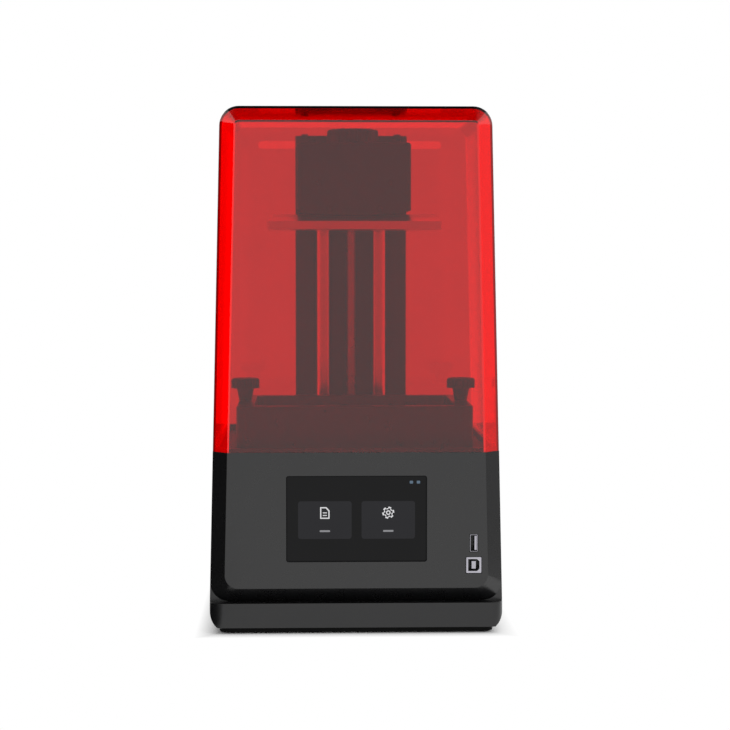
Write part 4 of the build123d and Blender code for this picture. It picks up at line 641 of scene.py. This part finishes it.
paint(["fresnel_lens"], clear_plastic("moulded_acrylic_lens", "E8EEF0", 0.05, 1.49))
paint(["release_film"], clear_plastic("stretched_film", "E6ECF2", 0.08, 1.38))
panel_glass = black_glass("panel_glass", "0A0A0C")
dress(["mask_lcd"], 0.15, panel_glass)
dress(["touch_glass"], 0.1, black_glass("coated_touch_glass", "050506", COATED_GLASS_IOR))

# %% [markdown]
# ## Boards and lamps
# The circuit boards are green solder resist over copper, and the lamps are pale yellow packages.

# %% Boards and lamps


def solder_resist():
    """Green resist over copper: tracks show as slightly lighter lines."""
    material, tree = new_material("green_solder_resist")
    where = place(tree)
    tracks = add(tree, "TexBrick", {"Vector": where, "Scale": per_metre(14), "Mortar Size": 0.03,
                                    "Color1": linear("0E3B22"), "Color2": linear("104226"),
                                    "Mortar": linear("2A6B42")})
    close_material(tree, add(tree, "BsdfPrincipled", {
        "Base Color": tracks.outputs["Color"], "Roughness": 0.35, "IOR": 1.5}))
    return material


def lamp_package():
    material, tree = new_material("lamp_package")
    tone, gloss, bump = drifting(tree, "D8CF9A", "F0E8BC", 4, (0.3, 0.5), 0.5, 0.01)
    close_material(tree, add(tree, "BsdfPrincipled", {
        "Base Color": tone, "Roughness": gloss, "Normal": bump}))
    return material


paint(["mainboard", "port_board"], solder_resist())
paint(["led_array"], lamp_package())

# %% [markdown]
# ## Drive screw
# The screw has four threads side by side, so one turn lifts the platform 8 mm while the ridges lie
# only 2 mm apart. A four-lobed ring, turned and lifted step by step, sweeps out exactly that form:
# the spin operator does both when it is given a shift for each step.

# %% Lead screw thread
LEAD_MM = 8.0
STARTS = 4
STEPS_PER_TURN = 24
THREAD_DEPTH_MM = 0.75
POINTS_PER_START = 8


def threaded_bar(node):
    """Sweeps a four-lobed ring up the length of a plain bar and puts the result in its place."""
    low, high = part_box(node)
    radius = (high.x - low.x) / 2
    centre = Vector(((low.x + high.x) / 2, (low.y + high.y) / 2, low.z))
    shape = bmesh.new()
    count = STARTS * POINTS_PER_START
    bmesh.ops.create_circle(shape, segments=count, radius=radius)
    shape.verts.ensure_lookup_table()
    for vert in shape.verts:
        angle = math.atan2(vert.co.y, vert.co.x) % (2 * math.pi)
        step = round(angle / (2 * math.pi) * count) % POINTS_PER_START
        if step >= POINTS_PER_START // 2:
            vert.co *= 1 - THREAD_DEPTH_MM * MM / radius
    turns = (high.z - low.z) / (LEAD_MM * MM)
    steps = round(turns * STEPS_PER_TURN)
    ring = list(shape.verts) + list(shape.edges)
    bmesh.ops.spin(shape, geom=ring, cent=(0, 0, 0), axis=(0, 0, 1),
                   dvec=(0, 0, (high.z - low.z) / steps),
                   angle=2 * math.pi * turns, steps=steps, use_duplicate=False)
    ends = [e for e in shape.edges if e.is_boundary]
    bmesh.ops.holes_fill(shape, edges=ends, sides=count + 1)
    bmesh.ops.recalc_face_normals(shape, faces=shape.faces)
    bmesh.ops.translate(shape, verts=shape.verts, vec=centre)
    mesh = bpy.data.meshes.new("lead_screw_piece")
    shape.to_mesh(mesh)
    shape.free()
    mesh.shade_smooth()
    mesh.set_sharp_from_angle(angle=math.radians(30))
    screw = bpy.data.objects.new("lead_screw_piece", mesh)
    bpy.context.scene.collection.objects.link(screw)
    mesh.materials.append(zinc_finish)
    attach(screw, nodes[node]["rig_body"])
    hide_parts(node)
    print("thread", len(mesh.polygons), "faces,", round(turns, 1), "turns")


threaded_bar("lead_screw")

# %% [markdown]
# ## Screen picture
# The screen shows two dark tiles, each with a small pale sign: a page for starting a print and a
# gear for the settings. Each sign is a flat outline laid a hair in front of the glass, and glows.

# %% Screen picture
screen_low, screen_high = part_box("touch_glass")
SCREEN_WIDTH_MM = 108.0
SCREEN_HEIGHT_MM = 66.4
SCREEN_MARGIN_MM = 1.0
TILE_X = 24.3
TILE_Z = 0.0
SIGN_Z = 4.6
screen_centre = (screen_low + screen_high) / 2
picture_y = screen_low.y


def screen_finish(name, colour, strength):
    """A faintly uneven glow under the coated glass."""
    material, tree = new_material(name)
    grid = add(tree, "TexNoise", {"Vector": place(tree), "Scale": per_metre(30)})
    tone = add(tree, "MapRange", {0: grid.outputs["Fac"], 3: 0.92, 4: 1.08})
    level = add(tree, "Math", {0: tone.outputs[0], 1: strength}, operation="MULTIPLY")
    close_material(tree, add(tree, "BsdfPrincipled", {
        "Base Color": linear("020202"), "Roughness": 0.06, "IOR": COATED_GLASS_IOR,
        "Emission Color": linear(colour), "Emission Strength": level.outputs[0]}))
    return material


def laid_shape(name, outline, lift_mm, material):
    """A flat shape on the screen from an outline in millimetres, with a thin edge."""
    shape = bmesh.new()
    depth = picture_y - lift_mm * MM
    verts = [shape.verts.new((screen_centre.x + x * MM, depth, screen_centre.z + z * MM))
             for x, z in outline]
    face = shape.faces.new(verts)
    solid = bmesh.ops.extrude_face_region(shape, geom=[face])
    moved = [v for v in solid["geom"] if isinstance(v, bmesh.types.BMVert)]
    bmesh.ops.translate(shape, verts=moved, vec=(0, (lift_mm - 0.01) * MM, 0))
    bmesh.ops.recalc_face_normals(shape, faces=shape.faces)
    mesh = bpy.data.meshes.new(name)
    shape.to_mesh(mesh)
    shape.free()
    piece = bpy.data.objects.new(name, mesh)
    bpy.context.scene.collection.objects.link(piece)
    mesh.materials.append(material)
    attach(piece, "base")


def rounded(x, z, width, height, corner):
    """The outline of a rectangle with round corners, four points to a corner."""
    points = []
    for quarter, (sx, sz) in enumerate(((1, 1), (-1, 1), (-1, -1), (1, -1))):
        for step in range(5):
            angle = math.radians(90 * quarter + 22.5 * step)
            points.append((x + sx * (width / 2 - corner) + corner * math.cos(angle),
                           z + sz * (height / 2 - corner) + corner * math.sin(angle)))
    return points


def gear(x, z, radius, teeth):
    """The outline of a gear with flat teeth."""
    points = []
    for tooth in range(teeth):
        for part, reach in ((0.0, 1.0), (0.45, 1.0), (0.55, 0.74), (0.95, 0.74)):
            angle = 2 * math.pi * (tooth + part) / teeth
            points.append((x + radius * reach * math.cos(angle),
                           z + radius * reach * math.sin(angle)))
    return points


screen_dark = screen_finish("screen_ground", "1E1E1F", 0.5)
tile_grey = screen_finish("screen_tile", "2C2C2F", 0.75)
sign_white = screen_finish("screen_sign", "E4E4E6", 0.9)
label_grey = screen_finish("screen_label", "9A9A9E", 0.8)
status_blue = screen_finish("screen_status", "65798C", 0.8)

ground_width = SCREEN_WIDTH_MM - 2 * SCREEN_MARGIN_MM
ground_height = SCREEN_HEIGHT_MM - 2 * SCREEN_MARGIN_MM
laid_shape("screen_ground", rounded(0, 0, ground_width, ground_height, 1.0), 0.02, screen_dark)
for side, name in ((-1, "print"), (1, "settings")):
    x = side * TILE_X
    laid_shape("tile_" + name, rounded(x, TILE_Z - 1.0, 41, 29, 2.0), 0.04, tile_grey)
    laid_shape("label_" + name, rounded(x, TILE_Z - 9.5, 8, 1.4, 0.6), 0.06, label_grey)
x = -TILE_X
laid_shape("sign_page", [(x - 3.6, 0), (x + 3.6, 0), (x + 3.6, 6.4), (x + 1.2, 9), (x - 3.6, 9)],
           0.06, sign_white)
laid_shape("sign_page_inner", [(x - 2.7, 0.9), (x + 2.7, 0.9), (x + 2.7, 5.9), (x + 0.7, 8.1),
                               (x - 2.7, 8.1)], 0.08, tile_grey)
for row in range(2):
    laid_shape(f"sign_page_line_{row}", rounded(x, 2.6 + 2.0 * row, 3.2, 0.7, 0.3), 0.1, sign_white)
laid_shape("sign_gear", gear(TILE_X, SIGN_Z, 4.7, 6), 0.06, sign_white)
laid_shape("sign_gear_inner", gear(TILE_X, SIGN_Z, 3.5, 6), 0.08, tile_grey)
laid_shape("sign_gear_ring", rounded(TILE_X, SIGN_Z, 3.6, 3.6, 1.79), 0.1, sign_white)
laid_shape("sign_gear_hole", rounded(TILE_X, SIGN_Z, 1.9, 1.9, 0.94), 0.12, tile_grey)
for step in range(2):
    laid_shape(f"status_{step}", rounded(42 + 5.4 * step, 28, 2.6, 2.2, 0.6), 0.06, status_blue)
